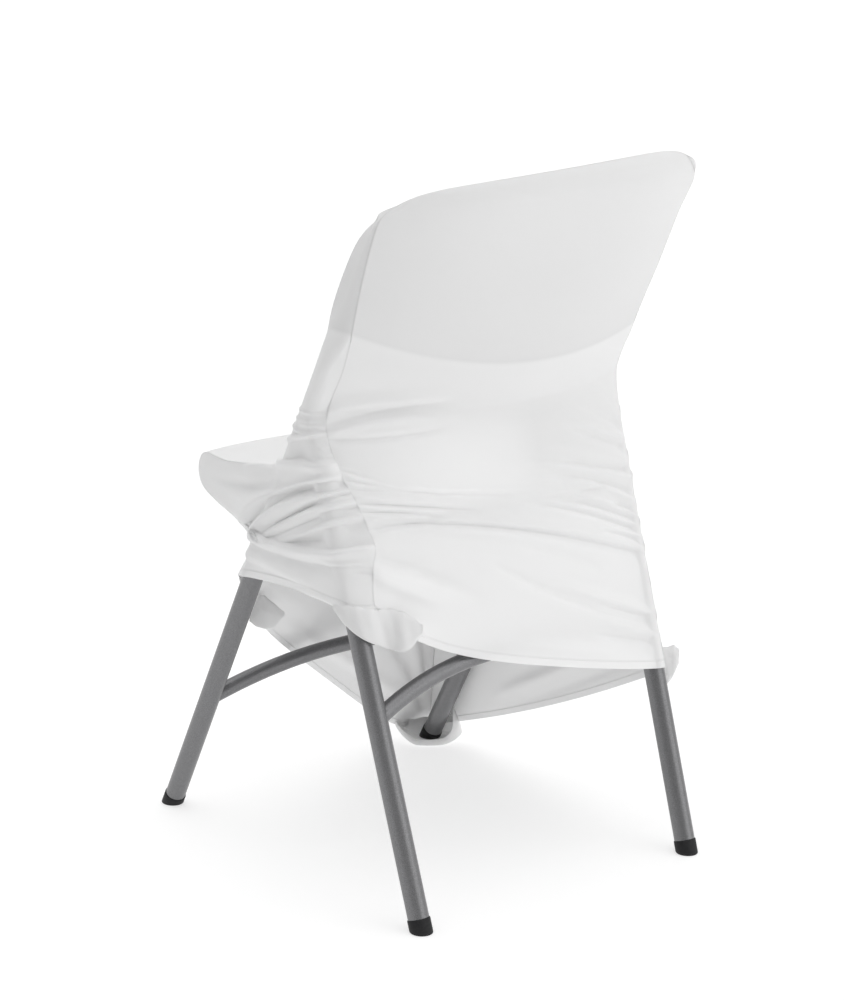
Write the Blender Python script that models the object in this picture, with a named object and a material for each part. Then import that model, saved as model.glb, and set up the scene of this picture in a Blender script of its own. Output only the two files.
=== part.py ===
"""White stretch cover on a plain steel-tube chair, rucked up at three of its four corners.

The floor is z = 0 and +Z is up. The chair faces -Y, and +X is its sitter's left.
Every size below is in millimetres and is counted from the middle of the four feet; the
meshes are built in metres, from the middle of the whole object's outline.
"""
import math
from collections import namedtuple

import bmesh
import bpy
from mathutils import Vector

MM = 0.001
OUTLINE_MIDDLE = Vector((-4.07, -11, 0))

# The chair: two straight front tubes that lean back and carry the backrest, and two rear legs
FRONT_FOOT = Vector((204, -261, 0))
REAR_FOOT = Vector((201, 261, 0))
JOIN = Vector((212, 72, 568))
TUBE_RADIUS = 12.5
TUBE_SIDES = 16
BACK_UP = Vector((0, JOIN.y - FRONT_FOOT.y, JOIN.z)).normalized()
BACK_REAR = Vector((0, BACK_UP.z, -BACK_UP.y))
CAP_HEIGHT = 19
CAP_RADIUS = 13.4
GAP = 0.3

# Arched stretchers: height at the legs, height at the middle and how late the arch turns down
FRONT_ARCH_ENDS, FRONT_ARCH_CROWN = 166, 206
REAR_ARCH_ENDS, REAR_ARCH_CROWN = 232, 276
ARCH_POWER = 2.3
STRETCHER_RADIUS = 9.8
SEAT_RAIL_RADIUS = 9.8
SEAT_RAIL_HEIGHT = 417

# Seat pad
SEAT_HALF_WIDTH = 186
SEAT_FRONT, SEAT_REAR = -214, 118
SEAT_BOTTOM, SEAT_TOP = 426.9, 464.9
SEAT_CORNER = 68

# Backrest pad, measured along the uprights from the floor and square to them
BACK_HALF_WIDTH = 212
BACK_TOP_ENDS, BACK_TOP_MIDDLE = 942, 972
BACK_LOW_ENDS, BACK_LOW_MIDDLE = 770, 736
BACK_FRONT, BACK_BEHIND = -6, 11
BACK_BOW = 28
BACK_BOW_HALF_WIDTH = 196
BACK_ROUND = 30

# The uprights end below the pad in thinner spigots, cranked inwards, which run up into it
UPRIGHT_END = 722
SPIGOT_RADIUS = 6.5
SPIGOT_X = 184
SPIGOT_BEHIND = 5
SPIGOT_CRANK = 742
SPIGOT_END = 880

# The cloth
CLOTH = 2.0
HEM_CLOTH = 3.0
SEAM_GAP = 0.44
TIP_GAP = 3.0
TUBE_REACH = 15
TUBE_CLEAR = 13.9
SOLE_TOP = 2.3

# One row for each station down a side panel, from the top corner to the hem. The rear seam is
# given by its height and by how far it lies inboard of and behind the tube it follows; the
# front seam by its place. reach and depth are the half sizes of what the cloth is drawn over.
SideRow = namedtuple(
    "SideRow", "rear_z rear_in rear_behind front_x front_y front_z reach depth steps")

TOP_CORNER_LEFT = Vector((187, 224, 828))
TOP_CORNER_RIGHT = Vector((-191, 234, 842))

LEFT_ROWS = (
    SideRow(822, 0, 0, 187, 224, 828, 2, 12, 2),
    SideRow(804, 8, 14, 209, 194, 799, 3, 15, 2),
    SideRow(766, 2, 19, 217, 164, 768, 8, 19, 2),
    SideRow(706, 2, 21, 218, 130, 711, 8, 19, 2),
    SideRow(664, 4, 22, 213, 107, 670, 9, 19, 2),
    SideRow(622, 8, 19, 207, 90, 628, 15.2, 15.2, 2),
    SideRow(582, 6, 18, 204, 62, 582, 15.2, 15.2, 3),
    SideRow(549, 2, 18, 204, 34, 536, 15.2, 15.2, 3),
    SideRow(507, 8, 16, 207, 1, 495, 15.2, 15.2, 3),
    SideRow(476, 18, 20, 210, -52, 484, 15.2, 15.2, 3),
    SideRow(449, 23, 26, 203, -122, 473, 15.2, 15.2, 3),
    SideRow(423, 25, 32, 190, -193, 466, 15.2, 15.2, 3),
    SideRow(399, 20, 26, 190, -193, 426, 15.2, 15.2, 3),
    SideRow(375, 17, 21, 207, -68, 393, 15.2, 15.2, 3),
    SideRow(350, 16, 18, 216, -80, 344, 15.2, 15.2, 0),
)

RIGHT_ROWS = (
    SideRow(830, 0, 0, -191, 234, 842, 2, 12, 2),
    SideRow(824, 7, 14, -208, 208, 828, 1, 15, 2),
    SideRow(776, 8, 18, -212, 172, 782, 3, 18, 2),
    SideRow(706, 5, 20, -214, 130, 711, 4, 19, 2),
    SideRow(660, 4, 22, -212, 105, 666, 8, 19, 2),
    SideRow(616, 4, 26, -206, 87, 624, 15.2, 15.2, 2),
    SideRow(572, 3, 32, -204, 57, 578, 15.2, 15.2, 3),
    SideRow(528, 2, 21, -204, 32, 534, 15.2, 15.2, 3),
    SideRow(484, 3, 18, -207, 0, 495, 15.2, 15.2, 3),
    SideRow(440, 4, 18, -210, -52, 482, 15.2, 15.2, 3),
    SideRow(395, 4, 18, -203, -122, 472, 15.2, 15.2, 3),
    SideRow(350, 5, 17, -191, -197, 466, 15.2, 15.2, 3),
    SideRow(305, 5, 16, -190, -200, 427, 15.2, 15.2, 3),
    SideRow(258, 5, 16, -205, -242, 212, 17, 17, 3),
    SideRow(207, 5, 16, -231, -294, 5, 27, 27, 0),
)

# How far the middle of each of those rows stands from the straight line between its seams,
# and how much lower the cloth hangs beside the rear left leg (corner)
MidRow = namedtuple("MidRow", "back_y back_z back_power corner front_y front_z front_power")
MIDDLE_ROWS = (
    MidRow(28, 6, 2, 0, 28, 6, 2),
    MidRow(38, 3, 2, 0, 16, 4, 2),
    MidRow(34, -10, 2, 0, 9, 0, 2),
    MidRow(34, -16, 2, 0, 4, 0, 2),
    MidRow(35, -16, 2, 0, 1, 0, 2),
    MidRow(40, -16, 2, 0, 0, 0, 2),
    MidRow(45, -16, 2, 0, 0, 0, 2),
    MidRow(44, -12, 2, 0, 0, 0, 2),
    MidRow(35, -8, 2, 0, 4, -8, 2),
    MidRow(26, -4, 2, 0, 0, -12, 3),
    MidRow(18, -4, 2, 0, 0, -5, 3),
    MidRow(12, -4, 2, 0, -25, -2, 4),
    MidRow(10, -4, 2, 5, -25, 0, 4),
    MidRow(12, -2, 2, 22, -20, -28, 3),
    MidRow(13, 0, 2, 45, -28, -42, 5),
)
SIDE_HEM_ARCH = {"left": 10, "right": -14}

BACK_COLUMNS = 20
FRONT_COLUMNS = 20
LEFT_COLUMNS = 16
RIGHT_COLUMNS = 12

# Main folds of the left side, in side view: from (y0, z0) to (y1, z1), bowed up by bow
Fold = namedtuple("Fold", "a0 z0 a1 z1 bow rise width")
LEFT_FOLDS = (
    Fold(-150, 440, 60, 470, -6, 9, 12),
    Fold(-95, 405, 60, 450, 0, -9, 14),
    Fold(-70, 395, 110, 440, 8, 10, 11),
    Fold(-50, 372, 100, 418, 8, -7, 11),
    Fold(-30, 366, 130, 400, 6, 8, 11),
    Fold(40, 366, 110, 384, 0, -7, 12),
    Fold(-60, 352, 150, 352, 4, 5, 8),
)
BACK_FOLDS = (
    Fold(180, 470, -205, 345, -14, -6, 9),
    Fold(185, 492, -20, 430, 0, 5, 12),
    Fold(190, 560, 90, 545, 6, 4, 10),
    Fold(195, 530, 60, 512, 6, 4, 10),
    Fold(-110, 470, -208, 410, 0, 4, 9),
    Fold(-70, 430, -208, 372, 0, 4, 9),
    Fold(-120, 560, -205, 500, 0, -4, 10),
    Fold(-120, 300, -205, 262, 0, -3, 10),
)
RIGHT_FOLDS = (
    Fold(60, 480, -120, 440, 0, 4, 12),
    Fold(110, 400, -150, 330, 0, 5, 14),
    Fold(150, 300, -180, 200, 0, 4, 14),
)
FRONT_FOLDS = (
    Fold(150, 380, -160, 330, 0, 4, 14),
    Fold(170, 350, -170, 160, 0, 5, 16),
)

# Pouches sewn into the cover's four corners: centre, half sizes, height and open rim
Pouch = namedtuple("Pouch", "x y z half_x half_y height turn lean crimp phase")
POUCHES = {
    "pocket_front_left": Pouch(172.8, -91.1, 309.2, 17, 12, 44, 10, -4, 0.10, 0.5),
    "pocket_rear_left": Pouch(166.8, 185.1, 356.4, 26, 15, 48, -18, -8, 0.12, 1.1),
    "pocket_rear_right": Pouch(-236, 174, 234, 6, 24, 46, 4, 2, 0.10, 2.0),
}
POUCH_PROFILE = ((0.0, -1.0), (0.45, -0.97), (0.78, -0.80), (0.97, -0.45), (1.0, -0.1), (0.86, 0.0))
POUCH_SIDES = 16

# The corner that is still on its foot: a sole on the floor with a low wall round the cap
SOLE_CENTRE = Vector((-201, -250, 0))
SOLE_HALF_X, SOLE_HALF_Y = 24, 34
SOLE_WALL_LOW, SOLE_WALL_HIGH = 9, 30
SOLE_SIDES = 24


def clear_scene():
    """Remove whatever the new file holds."""
    for old in list(bpy.data.objects):
        bpy.data.objects.remove(old, do_unlink=True)


def material(name, colour, roughness, metallic=0.0):
    """A plain Principled material."""
    made = bpy.data.materials.new(name)
    made.use_nodes = True
    shader = made.node_tree.nodes["Principled BSDF"]
    shader.inputs["Base Color"].default_value = (*colour, 1.0)
    shader.inputs["Roughness"].default_value = roughness
    shader.inputs["Metallic"].default_value = metallic
    return made


def add_object(name, points, faces, mat, smooth=35):
    """Make one mesh object from points in millimetres, faces turned outwards."""
    mesh = bpy.data.meshes.new(name)
    mesh.from_pydata([tuple((p - OUTLINE_MIDDLE) * MM) for p in points], [], faces)
    bm = bmesh.new()
    bm.from_mesh(mesh)
    bmesh.ops.recalc_face_normals(bm, faces=bm.faces)
    bm.to_mesh(mesh)
    bm.free()
    mesh.materials.append(mat)
    mesh.shade_smooth()
    mesh.set_sharp_from_angle(angle=math.radians(smooth))
    made = bpy.data.objects.new(name, mesh)
    bpy.context.scene.collection.objects.link(made)
    return made


def mirrored(point):
    """The same place on the chair's other side."""
    return Vector((-point.x, point.y, point.z))


def on_line(a, b, z):
    """The point of the line a to b at height z."""
    return a + (b - a) * ((z - a.z) / (b.z - a.z))


def smooth_through(values, steps):
    """Catmull-Rom samples through values, steps[i] of them from value i to the next."""
    out = []
    last = len(values) - 1
    for i in range(last):
        p0 = values[max(i - 1, 0)]
        p1, p2 = values[i], values[i + 1]
        p3 = values[min(i + 2, last)]
        for k in range(steps[i]):
            t = k / steps[i]
            out.append(0.5 * (p1 * 2 + (p2 - p0) * t + (p0 * 2 - p1 * 5 + p2 * 4 - p3) * t ** 2
                              + (p1 * 3 - p0 - p2 * 3 + p3) * t ** 3))
    out.append(values[last])
    return out


def swept_tube(points, radius, sides):
    """Points and faces of a round bar along a path, closed at both ends."""
    verts, faces = [], []
    for i, point in enumerate(points):
        ahead = points[min(i + 1, len(points) - 1)] - points[max(i - 1, 0)]
        ahead.normalize()
        across = ahead.cross(Vector((0, 1, 0.2))).normalized()
        other = ahead.cross(across)
        for k in range(sides):
            angle = 2 * math.pi * k / sides
            verts.append(point + (across * math.cos(angle) + other * math.sin(angle)) * radius)
    for i in range(len(points) - 1):
        for k in range(sides):
            a, b = i * sides + k, i * sides + (k + 1) % sides
            faces.append((a, b, b + sides, a + sides))
    faces.append(tuple(range(sides))[::-1])
    faces.append(tuple(range(len(verts) - sides, len(verts))))
    return verts, faces


def arch(foot, ends, crown):
    """Path of a stretcher between the two tubes that stand on foot, bowed upwards."""
    half = on_line(foot, JOIN, ends).x
    path = []
    for i in range(17):
        across = -math.cos(math.pi * i / 16)
        z = crown - (crown - ends) * abs(across) ** ARCH_POWER
        path.append(Vector((-half * across, on_line(foot, JOIN, z).y, z)))
    return path


def unite(base, others):
    """Leave union modifiers on base; the other bars stay as hidden guides."""
    for other in others:
        union = base.modifiers.new("weld_" + other.name, "BOOLEAN")
        union.operation = "UNION"
        union.solver = "EXACT"
        union.object = other
        other.hide_render = True
        other.display_type = "WIRE"


def upright_point(along):
    """The left spigot's axis at a distance along the upright."""
    return Vector((SPIGOT_X, FRONT_FOOT.y, 0)) + BACK_UP * along + BACK_REAR * SPIGOT_BEHIND


def build_frame(steel):
    """The welded steel frame: uprights, rear legs, arched stretchers and seat rails."""
    bars = {}
    up = (JOIN - FRONT_FOOT).normalized()
    shoulder = FRONT_FOOT + up * UPRIGHT_END
    shoulder.x -= 6
    for side, flip in (("left", False), ("right", True)):
        low = on_line(FRONT_FOOT, JOIN, CAP_HEIGHT)
        path = [low, JOIN, shoulder]
        spigot = [shoulder - up * 10, upright_point(SPIGOT_CRANK), upright_point(SPIGOT_CRANK + 8),
                  upright_point(SPIGOT_END - 1)]
        rear = [on_line(REAR_FOOT, JOIN, CAP_HEIGHT), JOIN]
        if flip:
            path, spigot, rear = ([mirrored(p) for p in line] for line in (path, spigot, rear))
        bars["front_" + side] = swept_tube(path, TUBE_RADIUS, TUBE_SIDES)
        bars["rear_" + side] = swept_tube(rear, TUBE_RADIUS - 0.2, TUBE_SIDES)
        bars["spigot_" + side] = swept_tube(spigot, SPIGOT_RADIUS, 12)
    bars["front_stretcher"] = swept_tube(
        arch(FRONT_FOOT, FRONT_ARCH_ENDS, FRONT_ARCH_CROWN), STRETCHER_RADIUS, 12)
    bars["rear_stretcher"] = swept_tube(
        arch(REAR_FOOT, REAR_ARCH_ENDS, REAR_ARCH_CROWN), STRETCHER_RADIUS, 12)
    for name, foot in (("front_rail", FRONT_FOOT), ("rear_rail", REAR_FOOT)):
        end = on_line(foot, JOIN, SEAT_RAIL_HEIGHT)
        bars[name] = swept_tube([end, mirrored(end)], SEAT_RAIL_RADIUS, 12)
    made = {name: add_object(name if name != "front_left" else "chair_frame", *shape, steel)
            for name, shape in bars.items()}
    frame = made.pop("front_left")
    unite(frame, list(made.values()))


def build_cap(name, foot, rubber, lift):
    """A rubber foot cap, flat on the floor (or on the pouch's sole) and square to its leg."""
    up = (JOIN - foot).normalized() if foot.x > 0 else (mirrored(JOIN) - foot).normalized()
    top = foot + up * (CAP_HEIGHT / up.z - GAP)
    across = up.cross(Vector((0, 1, 0))).normalized()
    other = up.cross(across)
    verts = []
    for radius, height in ((CAP_RADIUS - 1.6, lift), (CAP_RADIUS, lift + 2.2)):
        for k in range(TUBE_SIDES):
            angle = 2 * math.pi * k / TUBE_SIDES
            spot = foot + (across * math.cos(angle) + other * math.sin(angle)) * radius
            verts.append(spot + up * ((height - spot.z) / up.z))
    for k in range(TUBE_SIDES):
        angle = 2 * math.pi * k / TUBE_SIDES
        verts.append(top + (across * math.cos(angle) + other * math.sin(angle)) * CAP_RADIUS)
    faces = []
    for ring in range(2):
        for k in range(TUBE_SIDES):
            a, b = ring * TUBE_SIDES + k, ring * TUBE_SIDES + (k + 1) % TUBE_SIDES
            faces.append((a, b, b + TUBE_SIDES, a + TUBE_SIDES))
    faces.append(tuple(range(TUBE_SIDES)))
    faces.append(tuple(range(2 * TUBE_SIDES, 3 * TUBE_SIDES)))
    add_object(name, verts, faces, rubber)


def build_seat(vinyl):
    """The seat pad: a rounded slab on the two rails."""
    levels = ((SEAT_BOTTOM, 6), (SEAT_BOTTOM + 5, 0), (SEAT_TOP - 9, 0), (SEAT_TOP - 2.5, 4),
              (SEAT_TOP, 12))
    verts, faces = [], []
    corners = ((1, -1, -90), (1, 1, 0), (-1, 1, 90), (-1, -1, 180))
    count = 0
    for z, inset in levels:
        ring = []
        for sx, sy, start in corners:
            radius = (SEAT_CORNER if sy < 0 else 24)
            cx = sx * (SEAT_HALF_WIDTH - radius)
            cy = SEAT_FRONT + radius if sy < 0 else SEAT_REAR - radius
            for k in range(6):
                angle = math.radians(start + 18 * k)
                ring.append(Vector((cx + math.cos(angle) * (radius - inset),
                                    cy + math.sin(angle) * (radius - inset), z)))
        count = len(ring)
        verts += ring
    for level in range(len(levels) - 1):
        for k in range(count):
            a, b = level * count + k, level * count + (k + 1) % count
            faces.append((a, b, b + count, a + count))
    faces.append(tuple(range(count))[::-1])
    faces.append(tuple(range(len(verts) - count, len(verts))))
    add_object("seat_pad", verts, faces, vinyl)


def back_bow(x):
    """How far the backrest stands to the rear at x."""
    return BACK_BOW * max(0.0, 1 - (x / BACK_BOW_HALF_WIDTH) ** 2)


def build_backrest(vinyl):
    """The backrest pad: a bowed slab with a low curved edge, sleeved over the uprights."""
    stations = 18
    verts, faces = [], []
    ring_size = 0
    for i in range(stations + 1):
        x = -BACK_HALF_WIDTH * math.cos(math.pi * i / stations)
        t = x / BACK_HALF_WIDTH
        low = BACK_LOW_MIDDLE + (BACK_LOW_ENDS - BACK_LOW_MIDDLE) * t * t
        top = BACK_TOP_MIDDLE + (BACK_TOP_ENDS - BACK_TOP_MIDDLE) * t * t
        end = max(0.0, (abs(x) - BACK_HALF_WIDTH + BACK_ROUND) / BACK_ROUND)
        top -= 30 * end * end
        low += 8 * end * end
        thin = 6 * end * end
        front, rear = BACK_FRONT + thin, BACK_BEHIND - thin
        middle = (front + rear) / 2
        soft = 9.0
        lip = (rear - front) * 0.24
        section = (
            (low, middle), (low + 2, rear - lip), (low + soft, rear),
            ((low + top) / 2, rear), (top - soft, rear), (top - 2, rear - lip),
            (top, middle), (top - 2, front + lip), (top - soft, front),
            ((low + top) / 2, front), (low + soft, front), (low + 2, front + lip))
        ring_size = len(section)
        bow = back_bow(x)
        for s, n in section:
            verts.append(Vector((x, FRONT_FOOT.y, 0)) + BACK_UP * s + BACK_REAR * (n + bow))
    for i in range(stations):
        for k in range(ring_size):
            a, b = i * ring_size + k, i * ring_size + (k + 1) % ring_size
            faces.append((a, b, b + ring_size, a + ring_size))
    faces.append(tuple(range(ring_size)))
    faces.append(tuple(range(len(verts) - ring_size, len(verts))))
    pad = add_object("backrest_pad", verts, faces, vinyl)
    for side in (1, -1):
        path = [upright_point(UPRIGHT_END), upright_point(SPIGOT_END)]
        if side < 0:
            path = [mirrored(p) for p in path]
        shape = swept_tube(path, SPIGOT_RADIUS + 0.6, 12)
        sleeve = add_object("sleeve_" + ("left" if side > 0 else "right"), *shape, vinyl)
        sleeve.hide_render = True
        sleeve.display_type = "WIRE"
        cut = pad.modifiers.new("sleeve", "BOOLEAN")
        cut.operation = "DIFFERENCE"
        cut.solver = "EXACT"
        cut.object = sleeve


def seam_pair(row, sign, corner):
    """Rear and front seam points of one side row."""
    if row.rear_in == 0 and row.rear_behind == 0:
        return corner.copy(), corner.copy()
    foot = FRONT_FOOT if row.rear_z > JOIN.z else REAR_FOOT
    axis = on_line(foot, JOIN, row.rear_z)
    rear = Vector((sign * (axis.x - row.rear_in), axis.y + row.rear_behind, row.rear_z))
    return rear, Vector((row.front_x, row.front_y, row.front_z))


def outer_chain(start, end, points):
    """Convex hull of flat points, walked from start to end on its far side."""
    every = sorted(set([start, end] + points))

    def half(source):
        chain = []
        for p in source:
            while len(chain) > 1:
                (ax, ay), (bx, by) = chain[-2], chain[-1]
                if (bx - ax) * (p[1] - ay) - (by - ay) * (p[0] - ax) > 0:
                    break
                chain.pop()
            chain.append(p)
        return chain[:-1]

    ring = half(every) + half(every[::-1])
    if start not in ring or end not in ring:
        return [start, end]
    ring = ring[ring.index(start):] + ring[:ring.index(start)]
    walk = ring[:ring.index(end) + 1]
    other = [start] + ring[ring.index(end):][::-1]
    return walk if len(walk) > len(other) else other


def spaced(chain, count):
    """Points along a chain, closer together where it turns."""
    places = [0.0]
    for i in range(1, len(chain)):
        a, b = Vector(chain[i - 1]), Vector(chain[i])
        turn = 0.0
        if i + 1 < len(chain) and (b - a).length > 1e-6:
            c = Vector(chain[i + 1])
            if (c - b).length > 1e-6:
                turn = abs((b - a).angle(c - b))
        places.append(places[-1] + (b - a).length + 24 * turn)
    out = []
    k = 0
    for j in range(count + 1):
        want = places[-1] * j / count
        while k < len(places) - 2 and places[k + 1] < want:
            k += 1
        span = places[k + 1] - places[k]
        t = (want - places[k]) / span if span > 1e-9 else 0.0
        t = min(max(t, 0.0), 1.0)
        out.append(Vector(chain[k]).lerp(Vector(chain[k + 1]), t))
    return out


def side_line(rear, front, sign, reach, depth, count, tip):
    """Cloth drawn from the rear seam to the front seam over the tubes between them."""
    if tip:
        return [rear.copy() for _ in range(count + 1)]
    run = Vector((0, front.y - rear.y, front.z - rear.z))
    length = run.length
    run.normalize()
    bumps = []
    for foot, limit in ((FRONT_FOOT, 2000), (REAR_FOOT, JOIN.z + 6)):
        lean = Vector((0, JOIN.y - foot.y, JOIN.z)).normalized()
        sine = run.y * lean.z - run.z * lean.y
        if abs(sine) < 0.25:
            continue
        offset = Vector((0, foot.y - rear.y, foot.z - rear.z))
        t = (offset.y * lean.z - offset.z * lean.y) / sine
        z = rear.z + run.z * t
        if z > limit or t < -2 or t > length + 2:
            continue
        centre = on_line(foot, JOIN, z).x
        half = min(depth / abs(sine), max(t, 0.0), max(length - t, 0.0))
        for k in range(13):
            angle = math.pi * k / 12
            bumps.append((t + math.cos(angle) * half, centre + math.sin(angle) * reach))
    start, end = (0.0, rear.x * sign), (length, front.x * sign)
    chain = outer_chain(start, end, bumps)
    flat = spaced(chain, count)
    return [Vector((sign * x, rear.y + run.y * t, rear.z + run.z * t)) for t, x in flat]


def across_line(left, right, mid_y, mid_z, power, corner, count):
    """Cloth drawn from seam to seam across the chair, its middle moved by mid_y and mid_z."""
    line = []
    for j in range(count + 1):
        even = j / count
        t = 0.65 * even + 0.35 * (0.5 - 0.5 * math.cos(math.pi * even))
        shape = 1 - abs(2 * t - 1) ** power
        drop = corner * (1 - (1 - t) ** 6) * (1 - t) ** 0.8
        line.append(left.lerp(right, t) + Vector((0, mid_y, mid_z)) * shape - Vector((0, 0, drop)))
    return line


def arched(line, rise):
    """A row whose middle is lifted by rise."""
    last = len(line) - 1
    return [p + Vector((0, 0, rise * 4 * (j / last) * (1 - j / last))) for j, p in enumerate(line)]


def cover_grids(scale=1):
    """Grids of points for the four panels; neighbours share their seam points."""
    steps = [row.steps * scale for row in LEFT_ROWS]
    seams = {}
    for name, rows, sign, corner in (("left", LEFT_ROWS, 1, TOP_CORNER_LEFT),
                                     ("right", RIGHT_ROWS, -1, TOP_CORNER_RIGHT)):
        pairs = [seam_pair(row, sign, corner) for row in rows]
        seams[name] = (smooth_through([p[0] for p in pairs], steps),
                       smooth_through([p[1] for p in pairs], steps),
                       smooth_through([Vector((row.reach, row.depth)) for row in rows], steps))
    middle = smooth_through(
        [Vector((m.back_y, m.back_z, m.back_power, m.corner)) for m in MIDDLE_ROWS], steps)
    front_middle = smooth_through(
        [Vector((m.front_y, m.front_z, m.front_power, 0)) for m in MIDDLE_ROWS], steps)
    count = len(middle)
    grids = {"back_panel": [], "front_panel": [], "left_panel": [], "right_panel": []}
    for i in range(count):
        rear_left, front_left, size_left = (s[i] for s in seams["left"])
        rear_right, front_right, size_right = (s[i] for s in seams["right"])
        grids["back_panel"].append(
            across_line(rear_left, rear_right, *middle[i], BACK_COLUMNS * scale))
        grids["front_panel"].append(
            across_line(front_left, front_right, *front_middle[i], FRONT_COLUMNS * scale))
        low = max(0.0, (i - count + 7) / 6)
        grids["left_panel"].append(arched(side_line(
            rear_left, front_left, 1, *size_left, LEFT_COLUMNS * scale, i == 0),
            SIDE_HEM_ARCH["left"] * low))
        grids["right_panel"].append(arched(side_line(
            rear_right, front_right, -1, *size_right, RIGHT_COLUMNS * scale, i == 0),
            SIDE_HEM_ARCH["right"] * low))
    return grids


def out_of_tubes(point, reach=TUBE_REACH):
    """Push a cloth point off the tubes it would sink into."""
    for foot, limit in ((FRONT_FOOT, UPRIGHT_END * BACK_UP.z + 6), (REAR_FOOT, JOIN.z)):
        for sign in (1, -1):
            a = foot if sign > 0 else mirrored(foot)
            b = JOIN if sign > 0 else mirrored(JOIN)
            if point.z > limit or point.x * sign < 0:
                continue
            along = (b - a).normalized()
            near = a + along * (point - a).dot(along)
            off = point - near
            if off.length < reach:
                point = near + off.normalized() * reach
    return point


def clear_of_tubes(grid):
    """Move cells whose middles or edges would still cut into a tube; the seams stay put."""
    for _ in range(6):
        for i in range(len(grid) - 1):
            for j in range(len(grid[0]) - 1):
                cell = ((i, j), (i + 1, j), (i, j + 1), (i + 1, j + 1))
                corners = [grid[a][b] for a, b in cell]
                middle = sum(corners, Vector((0, 0, 0))) / 4
                spots = [middle] + [corners[a].lerp(corners[b], t)
                                    for a, b in ((0, 1), (2, 3), (0, 2), (1, 3), (0, 3), (1, 2))
                                    for t in (0.25, 0.5, 0.75)]
                for spot in spots:
                    shift = out_of_tubes(spot, TUBE_CLEAR) - spot
                    if shift.length > 0.02:
                        for a, b in cell:
                            if 0 < b < len(grid[0]) - 1:
                                grid[a][b] = grid[a][b] + shift * 0.6
    return grid


def fold_rise(folds, a, z):
    """Sum of the folds' heights at one place of a panel's flat view."""
    rise = 0.0
    for fold in folds:
        run_a, run_z = fold.a1 - fold.a0, fold.z1 - fold.z0
        length = math.hypot(run_a, run_z)
        t = ((a - fold.a0) * run_a + (z - fold.z0) * run_z) / length ** 2
        clamped = min(max(t, 0.0), 1.0)
        bow = fold.bow * 4 * clamped * (1 - clamped)
        off_a = a - (fold.a0 + run_a * clamped)
        off_z = z - (fold.z0 + run_z * clamped + bow)
        taper = math.sin(math.pi * (0.12 + 0.76 * clamped)) ** 0.7
        rise += fold.rise * taper * math.exp(-(off_a ** 2 + off_z ** 2) / fold.width ** 2)
    return rise


def grid_normals(grids):
    """Unit normals for every grid point, shared where panels meet."""
    total = {}
    centre = Vector((0, 0, 420))
    own = {}
    for name, grid in grids.items():
        rows, cols = len(grid), len(grid[0])
        own[name] = []
        for i in range(rows):
            line = []
            for j in range(cols):
                down = grid[min(i + 1, rows - 1)][j] - grid[max(i - 1, 0)][j]
                over = grid[i][min(j + 1, cols - 1)] - grid[i][max(j - 1, 0)]
                if over.length < 1e-6:
                    over = grid[i + 1][cols - 1] - grid[i + 1][0]
                normal = down.cross(over)
                if name in ("front_panel", "left_panel"):
                    normal = -normal
                line.append(normal.normalized() if normal.length > 1e-9 else Vector((0, 0, 0)))
            own[name].append(line)
        for i in range(rows):
            for j in range(cols):
                key = tuple(round(c, 2) for c in grid[i][j])
                total[key] = total.get(key, Vector((0, 0, 0))) + own[name][i][j]
    for name, grid in grids.items():
        for i, line in enumerate(grid):
            for j, point in enumerate(line):
                key = tuple(round(c, 2) for c in point)
                own[name][i][j] = total[key].normalized()
    return own


def folded(grids):
    """Lay the main folds into the panels, the same amount on both sides of a seam."""
    normals = grid_normals(grids)
    rises = {}
    views = {"back_panel": (BACK_FOLDS, "x"), "front_panel": (FRONT_FOLDS, "x"),
             "left_panel": (LEFT_FOLDS, "y"), "right_panel": (RIGHT_FOLDS, "y")}
    for name, grid in grids.items():
        folds, axis = views[name]
        for line in grid:
            for point in line:
                key = tuple(round(c, 2) for c in point)
                rises.setdefault(key, []).append(fold_rise(folds, getattr(point, axis), point.z))
    out = {}
    for name, grid in grids.items():
        out[name] = []
        for i, line in enumerate(grid):
            row = []
            for j, point in enumerate(line):
                key = tuple(round(c, 2) for c in point)
                rise = sum(rises[key]) / len(rises[key])
                row.append(out_of_tubes(point + normals[name][i][j] * rise))
            out[name].append(row)
        clear_of_tubes(out[name])
    return out


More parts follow.
